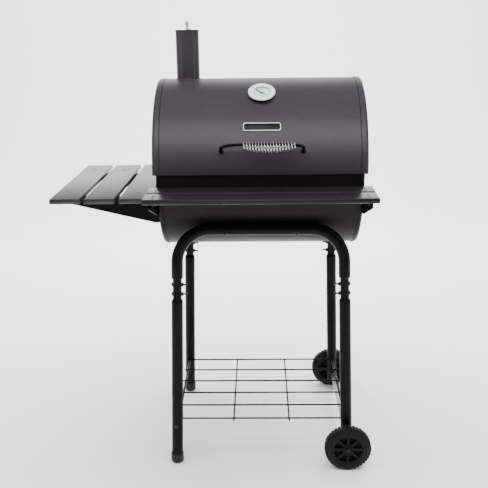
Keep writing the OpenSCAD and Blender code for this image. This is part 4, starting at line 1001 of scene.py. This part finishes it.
for node in ("front_shelf_slat_front", "front_shelf_slat_rear"):
    bm = bmesh.new()
    add_slat(bm, *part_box(node), False, 0.0045)
    piece(node + "_board", to_mesh(bm), slat_paint, BODY, "slat_paint", node)
side_lo, side_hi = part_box("side_shelf_slats")
SIDE_SLATS, SIDE_GAP = 3, 0.011
side_w = (side_hi.x - side_lo.x - (SIDE_SLATS - 1) * SIDE_GAP) / SIDE_SLATS
slat_x = [side_lo.x + i * (side_w + SIDE_GAP) for i in range(SIDE_SLATS)]
bm = bmesh.new()
for x in slat_x:
    add_slat(bm, Vector((x, side_lo.y, side_lo.z)), Vector((x + side_w, side_hi.y, side_hi.z)), True, 0.0035)
piece("side_shelf_boards", to_mesh(bm), side_slat_paint_lit, BODY, "slat_paint", "side_shelf_slats")
wear(stand_paint, "stand_paint", "front_shelf_bracket_left", "front_shelf_bracket_right",
     "side_shelf_bracket_front", "side_shelf_bracket_rear")
SCREW_R, SCREW_TIP, SCREW_NUT_R, SCREW_NUT_H = 0.0024, 0.006, 0.0050, 0.004


def screw_mesh(grip):
    """A countersunk screw with a six-sided socket, seated at the origin, and its nut under the grip."""
    turned = [(SCREW_R - 0.0003, -grip - SCREW_TIP), (SCREW_R, -grip - SCREW_TIP + 0.0005), (SCREW_R, -0.0024),
              (0.0048, 0.0), (0.0050, 0.0002), (0.0047, 0.0004)]
    socket = [(0.0026, 0.0004), (0.0024, -0.0012)]
    turns = [2 * math.pi * i / 36 for i in range(36)]
    rings = [[Vector((r * math.cos(a), r * math.sin(a), z)) for a in turns] for r, z in turned]
    rings += [[Vector((r * hexagon(a) * math.cos(a), r * hexagon(a) * math.sin(a), z)) for a in turns]
              for r, z in socket]
    nut = nut_mesh(SCREW_NUT_R, SCREW_NUT_H, SCREW_R)
    nut.transform(Matrix.Translation((0, 0, -grip - SCREW_NUT_H - 0.0001)))
    bm = bmesh.new()
    add_skin(bm, rings)
    bm.from_mesh(nut)
    return to_mesh(bm)


SCREW_FROM_END, SCREW_FRONT, SCREW_BACK = 0.025, 0.018, 0.030
front_lo, front_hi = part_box("front_shelf_slat_front")
rear_lo, rear_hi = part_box("front_shelf_slat_rear")
front_spots = [((x, y, front_hi.z), (0, 0, 1)) for x in (front_lo.x + SCREW_FROM_END, front_hi.x - SCREW_FROM_END)
               for low, high in ((front_lo.y, front_hi.y), (rear_lo.y, rear_hi.y))
               for y in (low + SCREW_FRONT, high - SCREW_BACK)]
side_spots = [((x + side_w / 2, y, side_hi.z), (0, 0, 1)) for x in slat_x for y in bracket_y]
for name, spots, deep in (("front_shelf", front_spots, front_hi.z - front_lo.z),
                          ("side_shelf", side_spots, side_hi.z - side_lo.z)):
    screws = repeated(screw_mesh(deep + BRACKET_T), spots, black_zinc)
    piece(name + "_socket_screws", screws, black_zinc, BODY, "black_zinc", name + "_screws")


# ---- Floor and backdrop ----
# A pale seamless floor that curves up into a backdrop behind the smoker. It isn't part of the object.
FLOOR_HALF, FLOOR_END, SWEEP_R, BACKDROP_TOP = 9.0, 3.0, 2.0, 6.0
profile = [(-FLOOR_HALF, 0.0), (FLOOR_END, 0.0)]
for i in range(1, 25):
    a = math.pi / 2 * i / 24
    profile.append((FLOOR_END + SWEEP_R * math.sin(a), SWEEP_R - SWEEP_R * math.cos(a)))
profile.append((FLOOR_END + SWEEP_R, BACKDROP_TOP))
bm = bmesh.new()
left, right = [[bm.verts.new((x, y, z)) for y, z in profile] for x in (-FLOOR_HALF, FLOOR_HALF)]
for i in range(len(profile) - 1):
    bm.faces.new((left[i], right[i], right[i + 1], left[i + 1]))
floor_mesh = bpy.data.meshes.new("floor")
bm.to_mesh(floor_mesh)
bm.free()
floor_mesh.shade_smooth()
floor_mesh.materials.append(finish("floor_white", (0.90, 0.90, 0.90), (0.92, 0.92, 0.92), 0.9, specular=0.1))
floor = add_object("floor", floor_mesh)
